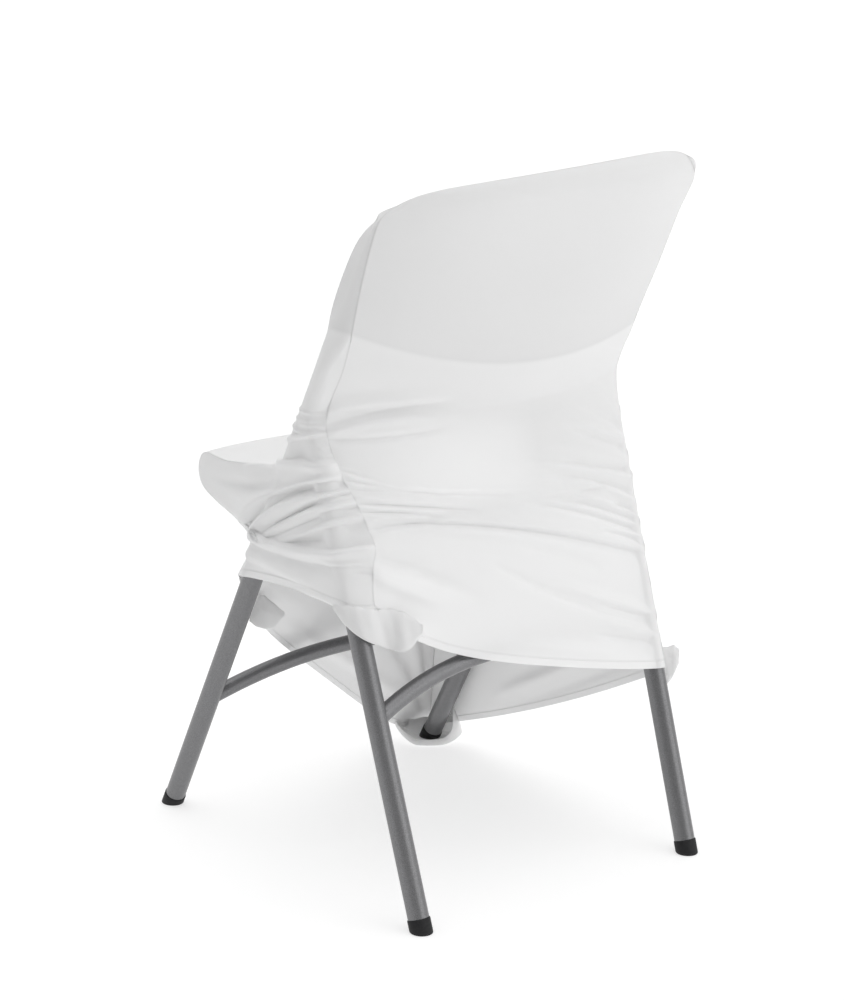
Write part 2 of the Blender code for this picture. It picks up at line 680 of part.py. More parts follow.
def thick_sheet(name, grid, normals, mat, tip):
    """Give a panel its thickness and close it round the rim."""
    rows, cols = len(grid), len(grid[0])

    def inset(i, j):
        ni = 1 if i == 0 else (rows - 2 if i == rows - 1 else i)
        nj = 1 if j == 0 else (cols - 2 if j == cols - 1 else j)
        if tip and i == 0:
            nj = cols // 2
        toward = grid[ni][nj] - grid[i][j]
        if toward.length < 1e-6 or (ni == i and nj == j):
            return grid[i][j]
        return grid[i][j] + toward.normalized() * (TIP_GAP if tip and i == 0 else SEAM_GAP * 0.7)

    verts, index = [], {}
    for side in (1, -1):
        for i in range(rows):
            thick = HEM_CLOTH if i >= rows - 2 else CLOTH
            for j in range(cols):
                if tip and i == 0 and j > 0:
                    index[side, i, j] = index[side, 0, 0]
                    continue
                index[side, i, j] = len(verts)
                verts.append(inset(i, j) + normals[i][j] * side * thick / 2)
    faces = []

    def add(*keys):
        face = []
        for key in keys:
            if index[key] not in face:
                face.append(index[key])
        if len(face) > 2:
            faces.append(tuple(face))

    for i in range(rows - 1):
        for j in range(cols - 1):
            add((1, i, j), (1, i, j + 1), (1, i + 1, j + 1), (1, i + 1, j))
            add((-1, i, j), (-1, i + 1, j), (-1, i + 1, j + 1), (-1, i, j + 1))
    for i in range(rows - 1):
        add((1, i, 0), (1, i + 1, 0), (-1, i + 1, 0), (-1, i, 0))
        last = cols - 1
        add((1, i, last), (-1, i, last), (-1, i + 1, last), (1, i + 1, last))
    for j in range(cols - 1):
        if not tip:
            add((1, 0, j), (-1, 0, j), (-1, 0, j + 1), (1, 0, j + 1))
        last = rows - 1
        add((1, last, j), (1, last, j + 1), (-1, last, j + 1), (-1, last, j))
    return add_object(name, verts, faces, mat, smooth=60)


def cup(name, rings, sides, mat):
    """A thick open cup from rings of points, the first ring being its middle point."""
    count = len(rings)
    normals = []
    for i in range(1, count):
        line = []
        for k in range(sides):
            over = rings[i][(k + 1) % sides] - rings[i][k - 1]
            below = rings[i - 1][k if len(rings[i - 1]) > 1 else 0]
            above = rings[min(i + 1, count - 1)][k]
            line.append(over.cross(above - below).normalized())
        normals.append(line)
    verts, faces = [], []
    for side in (1, -1):
        verts.append(rings[0][0] + Vector((0, 0, -side * CLOTH / 2)))
        for i in range(1, count):
            for k in range(sides):
                verts.append(rings[i][k] + normals[i - 1][k] * side * CLOTH / 2)
    shift = 1 + (count - 1) * sides

    def spot(layer, i, k):
        return layer * shift + 1 + (i - 1) * sides + k % sides

    for layer in (0, 1):
        for k in range(sides):
            faces.append((layer * shift, spot(layer, 1, k), spot(layer, 1, k + 1)))
            for i in range(1, count - 1):
                faces.append((spot(layer, i, k), spot(layer, i + 1, k),
                              spot(layer, i + 1, k + 1), spot(layer, i, k + 1)))
    last = count - 1
    for k in range(sides):
        faces.append((spot(0, last, k), spot(1, last, k), spot(1, last, k + 1), spot(0, last, k + 1)))
    return add_object(name, verts, faces, mat, smooth=60)


def build_pouch(name, pouch, mat):
    """An empty corner pouch that hangs beside its leg."""
    turn = math.radians(pouch.turn)
    rings = []
    for part, level in POUCH_PROFILE:
        ring = []
        for k in range(1 if part == 0 else POUCH_SIDES):
            angle = 2 * math.pi * k / POUCH_SIDES
            crimp = 1 + pouch.crimp * math.sin(3 * angle + pouch.phase) * part
            x = pouch.half_x * part * crimp * math.cos(angle)
            y = pouch.half_y * part * crimp * math.sin(angle)
            ring.append(Vector((
                pouch.x + x * math.cos(turn) - y * math.sin(turn) + pouch.lean * level,
                pouch.y + x * math.sin(turn) + y * math.cos(turn),
                pouch.z + pouch.height * level + 3 * math.sin(2 * angle + pouch.phase) * part)))
        rings.append(ring)
    cup(name, rings, POUCH_SIDES, mat)


def build_foot_pouch(mat):
    """The pouch still on its foot: its sole lies on the floor."""
    rings = [[Vector((SOLE_CENTRE.x, SOLE_CENTRE.y, CLOTH / 2))]]
    for part, level in ((0.35, 0.0), (0.7, 0.0), (0.94, 0.0), (1.04, 0.22), (1.06, 0.6), (1.0, 1.0)):
        ring = []
        for k in range(SOLE_SIDES):
            angle = 2 * math.pi * k / SOLE_SIDES
            outward = 0.5 - 0.5 * math.cos(angle - math.radians(70))
            wall = SOLE_WALL_LOW + (SOLE_WALL_HIGH - SOLE_WALL_LOW) * outward ** 1.5
            ring.append(Vector((SOLE_CENTRE.x + SOLE_HALF_X * part * math.cos(angle),
                                SOLE_CENTRE.y + SOLE_HALF_Y * part * math.sin(angle),
                                CLOTH / 2 + wall * level)))
        rings.append(ring)
    cup("pocket_front_right", rings, SOLE_SIDES, mat)


def build_cover(cloth):
    """The four sewn panels and the four corner pouches."""
    grids = folded(cover_grids())
    normals = grid_normals(grids)
    for name, grid in grids.items():
        thick_sheet("cover_" + name, grid, normals[name], cloth, name in ("left_panel", "right_panel"))
    for name, pouch in POUCHES.items():
        build_pouch(name, pouch, cloth)
    build_foot_pouch(cloth)


def main():
    clear_scene()
    steel = material("silver_paint", (0.28, 0.28, 0.29), 0.42, 0.75)
    rubber = material("black_rubber", (0.012, 0.012, 0.013), 0.6)
    vinyl = material("pale_pad", (0.55, 0.55, 0.56), 0.7)
    cloth = material("white_stretch_cloth", (0.86, 0.86, 0.87), 0.85)
    build_frame(steel)
    build_cap("cap_front_left", FRONT_FOOT, rubber, 0)
    build_cap("cap_rear_left", REAR_FOOT, rubber, 0)
    build_cap("cap_rear_right", mirrored(REAR_FOOT), rubber, 0)
    build_cap("cap_front_right", mirrored(FRONT_FOOT), rubber, SOLE_TOP)
    build_seat(vinyl)
    build_backrest(vinyl)
    build_cover(cloth)


main()
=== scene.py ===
# %% [markdown]
# # A stretch chair cover, rucked up on its chair
# This lesson dresses a white knitted chair cover that is drawn tight over a plain tube chair. Three
# of its four corner pouches have slipped off their feet, so the cloth rides up and gathers in long
# folds. The solids are already packed as the frame; here we add what the eye sees.
# Sizes are in millimetres, counted from the middle of the four feet, and become metres at the end.

# %% Load the frame
import math
from collections import namedtuple
import bpy
import numpy as np
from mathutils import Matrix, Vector


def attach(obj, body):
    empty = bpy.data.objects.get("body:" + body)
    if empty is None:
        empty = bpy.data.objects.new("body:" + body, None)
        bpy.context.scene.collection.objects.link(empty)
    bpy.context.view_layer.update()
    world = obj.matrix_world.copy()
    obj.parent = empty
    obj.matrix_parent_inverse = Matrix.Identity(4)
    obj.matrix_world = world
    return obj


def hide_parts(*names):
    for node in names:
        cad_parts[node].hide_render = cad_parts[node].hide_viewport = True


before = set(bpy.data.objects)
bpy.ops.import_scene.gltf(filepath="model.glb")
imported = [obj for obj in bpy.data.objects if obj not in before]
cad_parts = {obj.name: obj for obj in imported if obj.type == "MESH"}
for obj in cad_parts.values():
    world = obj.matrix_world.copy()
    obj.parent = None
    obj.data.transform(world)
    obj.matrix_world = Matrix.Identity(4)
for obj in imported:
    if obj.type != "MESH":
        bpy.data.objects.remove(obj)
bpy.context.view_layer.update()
print("solids:", sorted(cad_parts))

# %% [markdown]
# ## The chair's main lines
# The chair stands on two A-shaped sides. On each, the front tube leans back and carries the
# backrest, and the rear leg leans forward to meet it. Naming those lines first lets the tubes, the
# caps and the cloth be drawn over the same places.

# %% Main lines of the chair
OUTLINE_MIDDLE = np.array([-4.07, -11.0, 0.0])
FRONT_FOOT = np.array([204.0, -261.0, 0.0])
REAR_FOOT = np.array([201.0, 261.0, 0.0])
JOIN = np.array([212.0, 72.0, 568.0])
TUBE_RADIUS = 12.5
BACK_UP = np.array([0.0, 0.5058, 0.8627])
BACK_REAR = np.array([0.0, 0.8627, -0.5058])
RAIL_HEIGHT = 417


def on_line(a, b, z):
    """The point of the line a to b at height z."""
    return a + (b - a) * ((z - a[2]) / (b[2] - a[2]))


def mirrored(p):
    """The same place on the chair's other side."""
    return np.array([-p[0], p[1], p[2]])


def to_frame(p):
    """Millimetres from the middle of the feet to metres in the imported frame."""
    return (np.asarray(p, float) - OUTLINE_MIDDLE) / 1000.0


print("seat rail's end on the front tube:", on_line(FRONT_FOOT, JOIN, RAIL_HEIGHT).round())

# %% [markdown]
# ## Camera, floor and light
# The picture is taken from behind the chair and from its sitter's left, a little above seat height.
# A long lens keeps the legs nearly parallel. The floor is a pale sheet, and broad soft lamps stand
# in for a white studio, brighter on the side that the back of the cover faces.

# %% Camera
PICTURE_HEIGHT, SENSOR = 1000, 36.0
LENS_PIXELS = 2824.0
CENTRE_RIGHT, CENTRE_UP = -7.0, 42.0
CAMERA_PLACE, AIMED_AT = (1976, 2623, 1270), (-7, 0, 364.5)
camera_data = bpy.data.cameras.new("camera")
camera = bpy.data.objects.new("camera", camera_data)
bpy.context.scene.collection.objects.link(camera)
camera.location = to_frame(CAMERA_PLACE)
aim = Vector(to_frame(AIMED_AT)) - camera.location
camera.rotation_euler = aim.to_track_quat("-Z", "Y").to_euler()
camera_data.sensor_width = SENSOR
camera_data.lens = LENS_PIXELS / PICTURE_HEIGHT * SENSOR
camera_data.shift_x = CENTRE_RIGHT / PICTURE_HEIGHT
camera_data.shift_y = CENTRE_UP / PICTURE_HEIGHT
bpy.context.scene.camera = camera
print("camera at", [round(c, 3) for c in camera.location], "lens", round(camera_data.lens, 1), "mm")


# %% Floor and lamps
def principled(name, colour, roughness, metallic=0.0):
    """A node material with one Principled BSDF; returns the material, its tree and the shader."""
    made = bpy.data.materials.new(name)
    made.use_nodes = True
    shader = made.node_tree.nodes["Principled BSDF"]
    shader.inputs["Base Color"].default_value = (*colour, 1.0)
    shader.inputs["Roughness"].default_value = roughness
    shader.inputs["Metallic"].default_value = metallic
    return made, made.node_tree, shader


WHITE = (1.0, 1.0, 1.0, 1.0)
FLOOR_SIZE, UNDER_THE_FEET = 30.0, -0.0004
FLOOR_GREY, FLOOR_GLOW = (0.45, 0.45, 0.45), 0.62
bpy.ops.object.select_all(action="DESELECT")
bpy.ops.mesh.primitive_plane_add(size=FLOOR_SIZE, location=(0, 0, UNDER_THE_FEET))
floor = bpy.context.object
floor.name = "studio_floor"
floor_paint, _, floor_shader = principled("floor_white", FLOOR_GREY, 0.9)
floor_shader.inputs["Emission Color"].default_value = WHITE
floor_shader.inputs["Emission Strength"].default_value = FLOOR_GLOW
floor.data.materials.append(floor_paint)

world = bpy.data.worlds.new("studio")
bpy.context.scene.world = world
world.use_nodes = True
sky = world.node_tree
direction = sky.nodes.new("ShaderNodeTexCoord")
axes = sky.nodes.new("ShaderNodeSeparateXYZ")
sky.links.new(direction.outputs["Generated"], axes.inputs["Vector"])
both = sky.nodes.new("ShaderNodeMath")
both.operation = "ADD"
SKY_FADES = (("X", -0.7, 0.8, 0.60, 0.16), ("Y", -1.0, 0.1, 0.45, 0.0))
for socket, (axis, *ends) in zip(both.inputs, SKY_FADES):
    fade = sky.nodes.new("ShaderNodeMapRange")
    for label, value in zip(("From Min", "From Max", "To Min", "To Max"), ends):
        fade.inputs[label].default_value = value
    sky.links.new(axes.outputs[axis], fade.inputs["Value"])
    sky.links.new(fade.outputs["Result"], socket)
sky.links.new(both.outputs["Value"], sky.nodes["Background"].inputs["Strength"])
sky.nodes["Background"].inputs["Color"].default_value = WHITE
bpy.context.scene.view_settings.view_transform = "Standard"


def soft_sun(name, towards, strength, spread):
    """A sun lamp with a broad disc: even, soft light from one side."""
    data = bpy.data.lights.new(name, "SUN")
    data.energy = strength
    data.angle = math.radians(spread)
    lamp = bpy.data.objects.new(name, data)
    lamp.rotation_euler = Vector(towards).to_track_quat("Z", "Y").to_euler()
    bpy.context.scene.collection.objects.link(lamp)
    return lamp


soft_sun("key", (-0.50, 0.95, 0.35), 0.62, 50)
soft_sun("top", (0.12, 0.14, 1.0), 1.42, 80)

# %% [markdown]
# ## Shared surface effects
# Two effects are used by several finishes, so each is a node group: a fine grain, for paint, rubber
# and vinyl, and a knit, for the cloth of the panels and of the pouches. A group hands out only
# values and normals, and each material gives it its own scale and strength.


# %% Node groups
def group(name, inputs, outputs):
    """An empty shader node group with named float or vector sockets."""
    tree = bpy.data.node_groups.new(name, "ShaderNodeTree")
    for label, kind, start in inputs:
        socket = tree.interface.new_socket(label, in_out="INPUT", socket_type=kind)
        if start is not None:
            socket.default_value = start
    for label, kind in outputs:
        tree.interface.new_socket(label, in_out="OUTPUT", socket_type=kind)
    entry = tree.nodes.new("NodeGroupInput")
    leave = tree.nodes.new("NodeGroupOutput")
    return tree, entry, leave


def build_grain():
    """Fine mottling: a value for colour or roughness and a bumped normal."""
    tree, entry, leave = group(
        "fine_grain",
        [("Vector", "NodeSocketVector", None), ("Scale", "NodeSocketFloat", 400.0),
         ("Bump", "NodeSocketFloat", 0.1), ("Depth", "NodeSocketFloat", 0.0002)],
        [("Value", "NodeSocketFloat"), ("Normal", "NodeSocketVector")])
    noise = tree.nodes.new("ShaderNodeTexNoise")
    noise.inputs["Detail"].default_value = 4.0
    bump = tree.nodes.new("ShaderNodeBump")
    link = tree.links.new
    link(entry.outputs["Vector"], noise.inputs["Vector"])
    link(entry.outputs["Scale"], noise.inputs["Scale"])
    link(noise.outputs["Fac"], leave.inputs["Value"])
    link(noise.outputs["Fac"], bump.inputs["Height"])
    link(entry.outputs["Bump"], bump.inputs["Strength"])
    link(entry.outputs["Depth"], bump.inputs["Distance"])
    link(bump.outputs["Normal"], leave.inputs["Normal"])
    return tree


def math_node(tree, operation, a, b=None, clamp=False):
    """A Math node; a and b are sockets or numbers."""
    node = tree.nodes.new("ShaderNodeMath")
    node.operation = operation
    node.use_clamp = clamp
    for socket, value in zip(node.inputs, (a, b)):
        if isinstance(value, bpy.types.NodeSocket):
            tree.links.new(value, socket)
        elif value is not None:
            socket.default_value = value
    return node.outputs["Value"]


def band(tree, value, middle, half, soft):
    """1 where value lies within half of middle, falling to 0 over soft."""
    away = math_node(tree, "ABSOLUTE", math_node(tree, "SUBTRACT", value, middle))
    edge = math_node(tree, "SUBTRACT", half + soft, away)
    return math_node(tree, "DIVIDE", edge, soft, clamp=True)


WALE_PITCH, COURSE_PITCH, STITCH_PITCH = 0.0009, 0.0007, 0.0028
HEM_STITCHES, HEM_LINE, HEM_DEPTH = 8.2, 10.0, 11.5


def build_knit():
    """Fine knitted loops on a UV map in metres, with sewn lines and painted shade along hems and
    seams.
    """
    tree, entry, leave = group(
        "stretch_knit",
        [("Cloth", "NodeSocketVector", None), ("Hem", "NodeSocketFloat", 100.0),
         ("Seam", "NodeSocketFloat", 100.0), ("Depth", "NodeSocketFloat", 0.001)],
        [("Shade", "NodeSocketFloat"), ("Normal", "NodeSocketVector")])
    axes = tree.nodes.new("ShaderNodeSeparateXYZ")
    tree.links.new(entry.outputs["Cloth"], axes.inputs["Vector"])
    u, v = axes.outputs["X"], axes.outputs["Y"]
    hem, seam = entry.outputs["Hem"], entry.outputs["Seam"]
    wales = math_node(tree, "SINE", math_node(tree, "MULTIPLY", u, 2 * math.pi / WALE_PITCH))
    courses = math_node(tree, "SINE", math_node(tree, "MULTIPLY", v, 2 * math.pi / COURSE_PITCH))
    loops = math_node(tree, "MULTIPLY", wales, courses)
    slub = tree.nodes.new("ShaderNodeTexNoise")
    slub.inputs["Scale"].default_value = 900.0
    slub.inputs["Detail"].default_value = 2.0
    tree.links.new(entry.outputs["Cloth"], slub.inputs["Vector"])
    cover_line = band(tree, hem, HEM_LINE, 0.4, 1.1)
    hem_edge = band(tree, hem, 0.0, 0.2, 1.2)
    seam_line = band(tree, seam, 0.0, 0.2, 1.0)
    dashes = math_node(tree, "SINE", math_node(tree, "MULTIPLY", u, 2 * math.pi / STITCH_PITCH))
    sewn = math_node(tree, "MULTIPLY", band(tree, hem, HEM_STITCHES, 0.3, 0.6),
                     math_node(tree, "MULTIPLY_ADD", dashes, 0.5, clamp=True))
    inside_hem = math_node(tree, "SUBTRACT", HEM_DEPTH, hem)
    fold_up = math_node(tree, "DIVIDE", inside_hem, 1.4, clamp=True)
    height = math_node(tree, "MULTIPLY", loops, 0.03)
    for part, share in ((slub.outputs["Fac"], 0.05), (fold_up, 0.7), (cover_line, -0.5),
                        (seam_line, -0.22), (sewn, 0.25)):
        height = math_node(tree, "ADD", height, math_node(tree, "MULTIPLY", part, share))
    bump = tree.nodes.new("ShaderNodeBump")
    tree.links.new(height, bump.inputs["Height"])
    tree.links.new(entry.outputs["Depth"], bump.inputs["Distance"])
    # painted shade: darker in the seam and cover-stitch grooves and at the hem's edge; the slub adds
    # random tone
    dark = math_node(tree, "MULTIPLY", seam_line, 0.05)
    for part, share in ((cover_line, 0.04), (hem_edge, 0.05), (slub.outputs["Fac"], 0.03)):
        dark = math_node(tree, "ADD", dark, math_node(tree, "MULTIPLY", part, share))
    tree.links.new(math_node(tree, "SUBTRACT", 1.0, dark, clamp=True), leave.inputs["Shade"])
    tree.links.new(bump.outputs["Normal"], leave.inputs["Normal"])
    return tree


GRAIN = build_grain()
KNIT = build_knit()
print("node groups:", [g.name for g in bpy.data.node_groups])

# %% [markdown]
# ## Paint, rubber and vinyl
# The tubes have sprayed silver paint, dull and slightly mottled. The caps are black rubber, and the
# pads pale vinyl. None of them is one flat colour, so all three take the grain on Object
# coordinates, each at its own scale, for both its colour and its relief.


# %% Grained finishes
def grained(name, dark, light, roughness, scale, bump, metallic=0.0, ends=(0.0, 1.0)):
    """A finish whose colour and relief both follow the fine grain; ends narrow its range."""
    made, tree, shader = principled(name, light, roughness, metallic)
    place = tree.nodes.new("ShaderNodeTexCoord")
    grain = tree.nodes.new("ShaderNodeGroup")
    grain.node_tree = GRAIN
    grain.inputs["Scale"].default_value = scale
    grain.inputs["Bump"].default_value = bump
    ramp = tree.nodes.new("ShaderNodeValToRGB")
    for stop, position, colour in zip(ramp.color_ramp.elements, ends, (dark, light)):
        stop.position = position
        stop.color = (*colour, 1.0)
    tree.links.new(place.outputs["Object"], grain.inputs["Vector"])
    tree.links.new(grain.outputs["Value"], ramp.inputs["Fac"])
    tree.links.new(ramp.outputs["Color"], shader.inputs["Base Color"])
    tree.links.new(grain.outputs["Normal"], shader.inputs["Normal"])
    return made, shader


silver, _ = grained("silver_paint", (0.15, 0.15, 0.155), (0.27, 0.27, 0.275), 0.36, 1400.0, 0.25,
                    metallic=0.65, ends=(0.35, 0.68))
rubber, rubber_shader = grained("black_rubber", (0.008, 0.008, 0.009), (0.030, 0.030, 0.031), 0.55,
                                500.0, 0.3)
rubber_shader.inputs["Specular IOR Level"].default_value = 0.2
vinyl, _ = grained("pale_vinyl", (0.50, 0.50, 0.51), (0.60, 0.60, 0.61), 0.6, 420.0, 0.35)
print("grained finishes:", [paint.name for paint in (silver, rubber, vinyl)])

# %% [markdown]
# ## The steel frame
# The real frame is bent and welded from round steel tube: two front tubes with the backrest on top,
# two rear legs, an arched stretcher in front and one behind, and two rails under the seat. A tube is
# easiest to make as a curve with a round bevel, turned into a mesh at the end.


# %% Tube helper
def pick(*pieces):
    """Select these pieces alone, with the first of them active."""
    bpy.ops.object.select_all(action="DESELECT")
    for piece in pieces:
        piece.select_set(True)
    bpy.context.view_layer.objects.active = pieces[0]


def bar(name, path, radius, sides=40):
    """A round bar along a path in millimetres: a bevelled curve, converted to a mesh."""
    curve = bpy.data.curves.new(name, "CURVE")
    curve.dimensions = "3D"
    curve.bevel_depth = radius / 1000.0
    curve.bevel_resolution = sides // 4 - 1
    curve.use_fill_caps = True
    line = curve.splines.new("POLY")
    line.points.add(len(path) - 1)
    for spot, place in zip(line.points, path):
        spot.co = (*to_frame(place), 1.0)
    made = bpy.data.objects.new(name, curve)
    bpy.context.scene.collection.objects.link(made)
    pick(made)
    bpy.ops.object.convert(target="MESH")
    bpy.ops.object.shade_smooth_by_angle(angle=math.radians(40))
    return bpy.context.object


def joined(name, pieces):
    """Join mesh pieces into one object."""
    pick(*pieces)
    bpy.ops.object.join()
    made = bpy.context.object
    made.name = name
    made.data.name = name
    return made


def arch(foot, ends, crown, power=2.3, steps=36):
    """The path of an arched stretcher between the two tubes that stand on foot."""
    half = on_line(foot, JOIN, ends)[0]
    path = []
    for i in range(steps + 1):
        across = -math.cos(math.pi * i / steps)
        z = crown - (crown - ends) * abs(across) ** power
        path.append(np.array([-half * across, on_line(foot, JOIN, z)[1], z]))
    return path


# %% Build the frame
STRETCHER_RADIUS = 9.8
FRONT_ARCH, REAR_ARCH = (166, 206), (232, 276)
CAP_HEIGHT, CAP_RIM = 19.0, 13.5
TUBE_END = CAP_HEIGHT - 8
UPRIGHT_END, SHOULDER_OUT = 722.0, 2.0
SPIGOT_X, SPIGOT_BEHIND, SPIGOT_RADIUS = 184.0, 5.0, 6.5
SPIGOT_STATIONS = (742, 750, 870)
bars = []
for side in (1, -1):
    turn = (lambda p: p) if side > 0 else mirrored
    shoulder = FRONT_FOOT + BACK_UP * UPRIGHT_END + np.array([SHOULDER_OUT, 0, 0])
    spigot = [np.array([SPIGOT_X, FRONT_FOOT[1], 0]) + BACK_UP * s + BACK_REAR * SPIGOT_BEHIND
              for s in SPIGOT_STATIONS]
    upright = [on_line(FRONT_FOOT, JOIN, TUBE_END), JOIN, shoulder]
    rear = [on_line(REAR_FOOT, JOIN, TUBE_END), JOIN]
    bars.append(bar("upright", [turn(p) for p in upright], TUBE_RADIUS))
    bars.append(bar("rear_leg", [turn(p) for p in rear], TUBE_RADIUS))
    bars.append(bar("spigot", [turn(p) for p in [shoulder] + spigot], SPIGOT_RADIUS, 20))
bars.append(bar("front_stretcher", arch(FRONT_FOOT, *FRONT_ARCH), STRETCHER_RADIUS, 32))
bars.append(bar("rear_stretcher", arch(REAR_FOOT, *REAR_ARCH), STRETCHER_RADIUS, 32))
for foot in (FRONT_FOOT, REAR_FOOT):
    end = on_line(foot, JOIN, RAIL_HEIGHT)
    bars.append(bar("rail", [end, mirrored(end)], STRETCHER_RADIUS, 32))
steel_frame = joined("steel_frame", bars)
steel_frame.data.materials.clear()
steel_frame.data.materials.append(silver)
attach(steel_frame, "root")
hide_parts("chair_frame")
print("steel frame:", len(steel_frame.data.polygons), "faces")

# %% [markdown]
# ## Rubber caps
# Each leg ends in a moulded rubber cap, a little wider than the tube, cut so that it stands flat.
# A cylinder is added on the leg's own line; its lower ring is pressed flat on the floor and its rims
# are rounded with a bevel.


# %% Build the caps
CAP_RADIUS, CAP_START, RIM_ROUNDING = 0.0134, 2, 0.0014


def rubber_cap(name, foot, node, lift):
    """A cap along the leg that stands on foot, its underside lift millimetres up."""
    join = JOIN if foot[0] > 0 else mirrored(JOIN)
    up = Vector((join - foot) / np.linalg.norm(join - foot))
    top = CAP_RIM / up.z
    middle = foot + np.array(up) * (top / 2 + CAP_START)
    bpy.ops.object.select_all(action="DESELECT")
    bpy.ops.mesh.primitive_cylinder_add(
        vertices=48, radius=CAP_RADIUS, depth=top / 1000.0, location=to_frame(middle),
        rotation=up.to_track_quat("Z", "Y").to_euler())
    cap = bpy.context.object
    cap.name = name
    bpy.ops.object.transform_apply(location=True, rotation=True, scale=True)
    for v in cap.data.vertices:
        along = (Vector(to_frame(middle)) - v.co).dot(up)
        if along > 0:
            v.co += up * ((lift / 1000.0 - v.co.z) / up.z)
    bevel = cap.modifiers.new("rims", "BEVEL")
    bevel.width = RIM_ROUNDING
    bevel.segments = 3
    bevel.limit_method = "ANGLE"
    bevel.angle_limit = math.radians(50)
    bpy.ops.object.modifier_apply(modifier="rims")
    bpy.ops.object.shade_smooth_by_angle(angle=math.radians(50))
    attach(cap, "root")
    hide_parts(node)
    return cap


CAPS = (("front_left", FRONT_FOOT, 0.0), ("rear_left", REAR_FOOT, 0.0),
        ("rear_right", mirrored(REAR_FOOT), 0.0), ("front_right", mirrored(FRONT_FOOT), 2.3))
for label, foot, lift in CAPS:
    cap = rubber_cap("rubber_cap_" + label, foot, "cap_" + label, lift)
    cap.data.materials.clear()
    cap.data.materials.append(rubber)
print("caps:", [label for label, _, _ in CAPS])

# %% [markdown]
# ## The cover's seam lines
# The cover is sewn from four panels: a back, a front that runs down the inside back, over the seat
# and down as a skirt, and a narrow side on each flank. Its seams are its skeleton, so each side
# panel gets one row for each station down the chair: where its rear and its front seam lie, and how
# wide the tube is that the cloth is drawn over there. Catmull-Rom curves through those rows give
# lines without corners.

# %% Seam tables
SideRow = namedtuple(
    "SideRow", "rear_z rear_in rear_behind front_x front_y front_z reach depth steps")
LEFT_ROWS = (
    SideRow(822, 0, 0, 205, 226, 819, 2, 12, 2),
    SideRow(804, -3, 2, 214, 194, 797, 6, 15, 2),
    SideRow(766, -7, 8, 217, 164, 768, 8, 19, 2),
    SideRow(706, -5, 17, 218, 130, 711, 8, 19, 2),
    SideRow(664, 0, 21, 213, 107, 670, 9, 19, 2),
    SideRow(622, 6, 20, 207, 90, 628, 13.6, 13.6, 2),
    SideRow(582, 6, 18, 204, 62, 582, 13.6, 13.6, 3),
    SideRow(549, 2, 18, 204, 34, 536, 13.6, 13.6, 3),
    SideRow(507, 8, 16, 207, 1, 495, 13.6, 13.6, 3),
    SideRow(476, 18, 20, 210, -52, 484, 13.6, 13.6, 3),
    SideRow(449, 23, 26, 203, -122, 473, 13.6, 13.6, 3),
    SideRow(423, 25, 32, 190, -193, 466, 13.6, 13.6, 3),
    SideRow(399, 20, 26, 190, -193, 426, 13.6, 13.6, 3),
    SideRow(375, 17, 21, 207, -68, 393, 13.6, 13.6, 3),
    SideRow(350, 16, 18, 216, -80, 344, 13.6, 13.6, 0),
)
RIGHT_ROWS = (
    SideRow(837, 0, 0, -200, 230, 841, 2, 12, 2),
    SideRow(815, -6, 5, -217, 206, 818, 3, 15, 2),
    SideRow(774, -3, 9, -216, 172, 779, 4, 18, 2),
    SideRow(706, -4, 14, -214, 130, 711, 4, 19, 2),
    SideRow(660, -3, 17, -212, 105, 666, 8, 19, 2),
    SideRow(616, -4, 20, -206, 87, 624, 13.6, 13.6, 2),
    SideRow(572, -6, 22, -204, 57, 578, 13.6, 13.6, 3),
    SideRow(528, -8, 13, -204, 32, 534, 13.6, 13.6, 3),
    SideRow(484, -8.5, 11.5, -207, 0, 495, 13.6, 13.6, 3),
    SideRow(440, -8.5, 11.5, -210, -52, 482, 13.6, 13.6, 3),
    SideRow(395, -8.5, 11.5, -203, -122, 472, 13.6, 13.6, 3),
    SideRow(350, -8.5, 11.5, -191, -197, 466, 13.6, 13.6, 3),
    SideRow(305, -8.5, 11.5, -190, -200, 427, 13.6, 13.6, 3),
    SideRow(262, -8.5, 11.5, -205, -242, 212, 15, 15, 3),
    SideRow(217, -8.5, 12, -231, -294, 5, 18, 18, 0),
)
MidRow = namedtuple("MidRow", "back_y back_z back_power corner front_y front_z front_power crown")
MIDDLE_ROWS = (
    MidRow(30, 4, 2, 0, 28, 4, 2, 10),
    MidRow(44, 3, 3, 0, 16, 4, 2, 7),
    MidRow(38, -8, 3, 0, 9, 0, 2, 2),
    MidRow(36, -16, 2.6, 0, 4, 0, 2, 0),
    MidRow(35, -16, 2.2, 0, 1, 0, 2, 0),
    MidRow(37, -16, 2, 0, 0, 0, 2, 0),
    MidRow(38, -16, 2, 0, 0, 0, 2, 0),
    MidRow(45, -12, 2, 0, 0, 0, 2, 0),
    MidRow(41, -8, 2, 0, 4, -8, 2, 0),
    MidRow(29, -4, 2, 0, 0, -12, 3, 0),
    MidRow(18, -4, 2, 0, 0, -5, 3, 0),
    MidRow(12, -4, 2, 0, -25, -2, 4, 0),
    MidRow(10, -4, 2, 5, -25, 0, 4, 0),
    MidRow(12, -2, 2, 22, -20, -28, 3, 0),
    MidRow(13, 0, 2, 45, -28, -42, 5, 0),
)
SIDE_HEM_ARCH = {"left": 10, "right": -14}
print("stations:", len(LEFT_ROWS), "down each side")


# %% Curves through the stations
def smooth_through(values, steps):
    """Catmull-Rom samples through values (n, k); steps[i] of them from value i to the next."""
    values = np.asarray(values, float)
    last = len(values) - 1
    out = []
    for i in range(last):
        p0, p1 = values[max(i - 1, 0)], values[i]
        p2, p3 = values[i + 1], values[min(i + 2, last)]
        for k in range(steps[i]):
            t = k / steps[i]
            out.append(0.5 * (2 * p1 + (p2 - p0) * t + (2 * p0 - 5 * p1 + 4 * p2 - p3) * t ** 2
                              + (3 * p1 - p0 - 3 * p2 + p3) * t ** 3))
    out.append(values[last])
    return np.array(out)


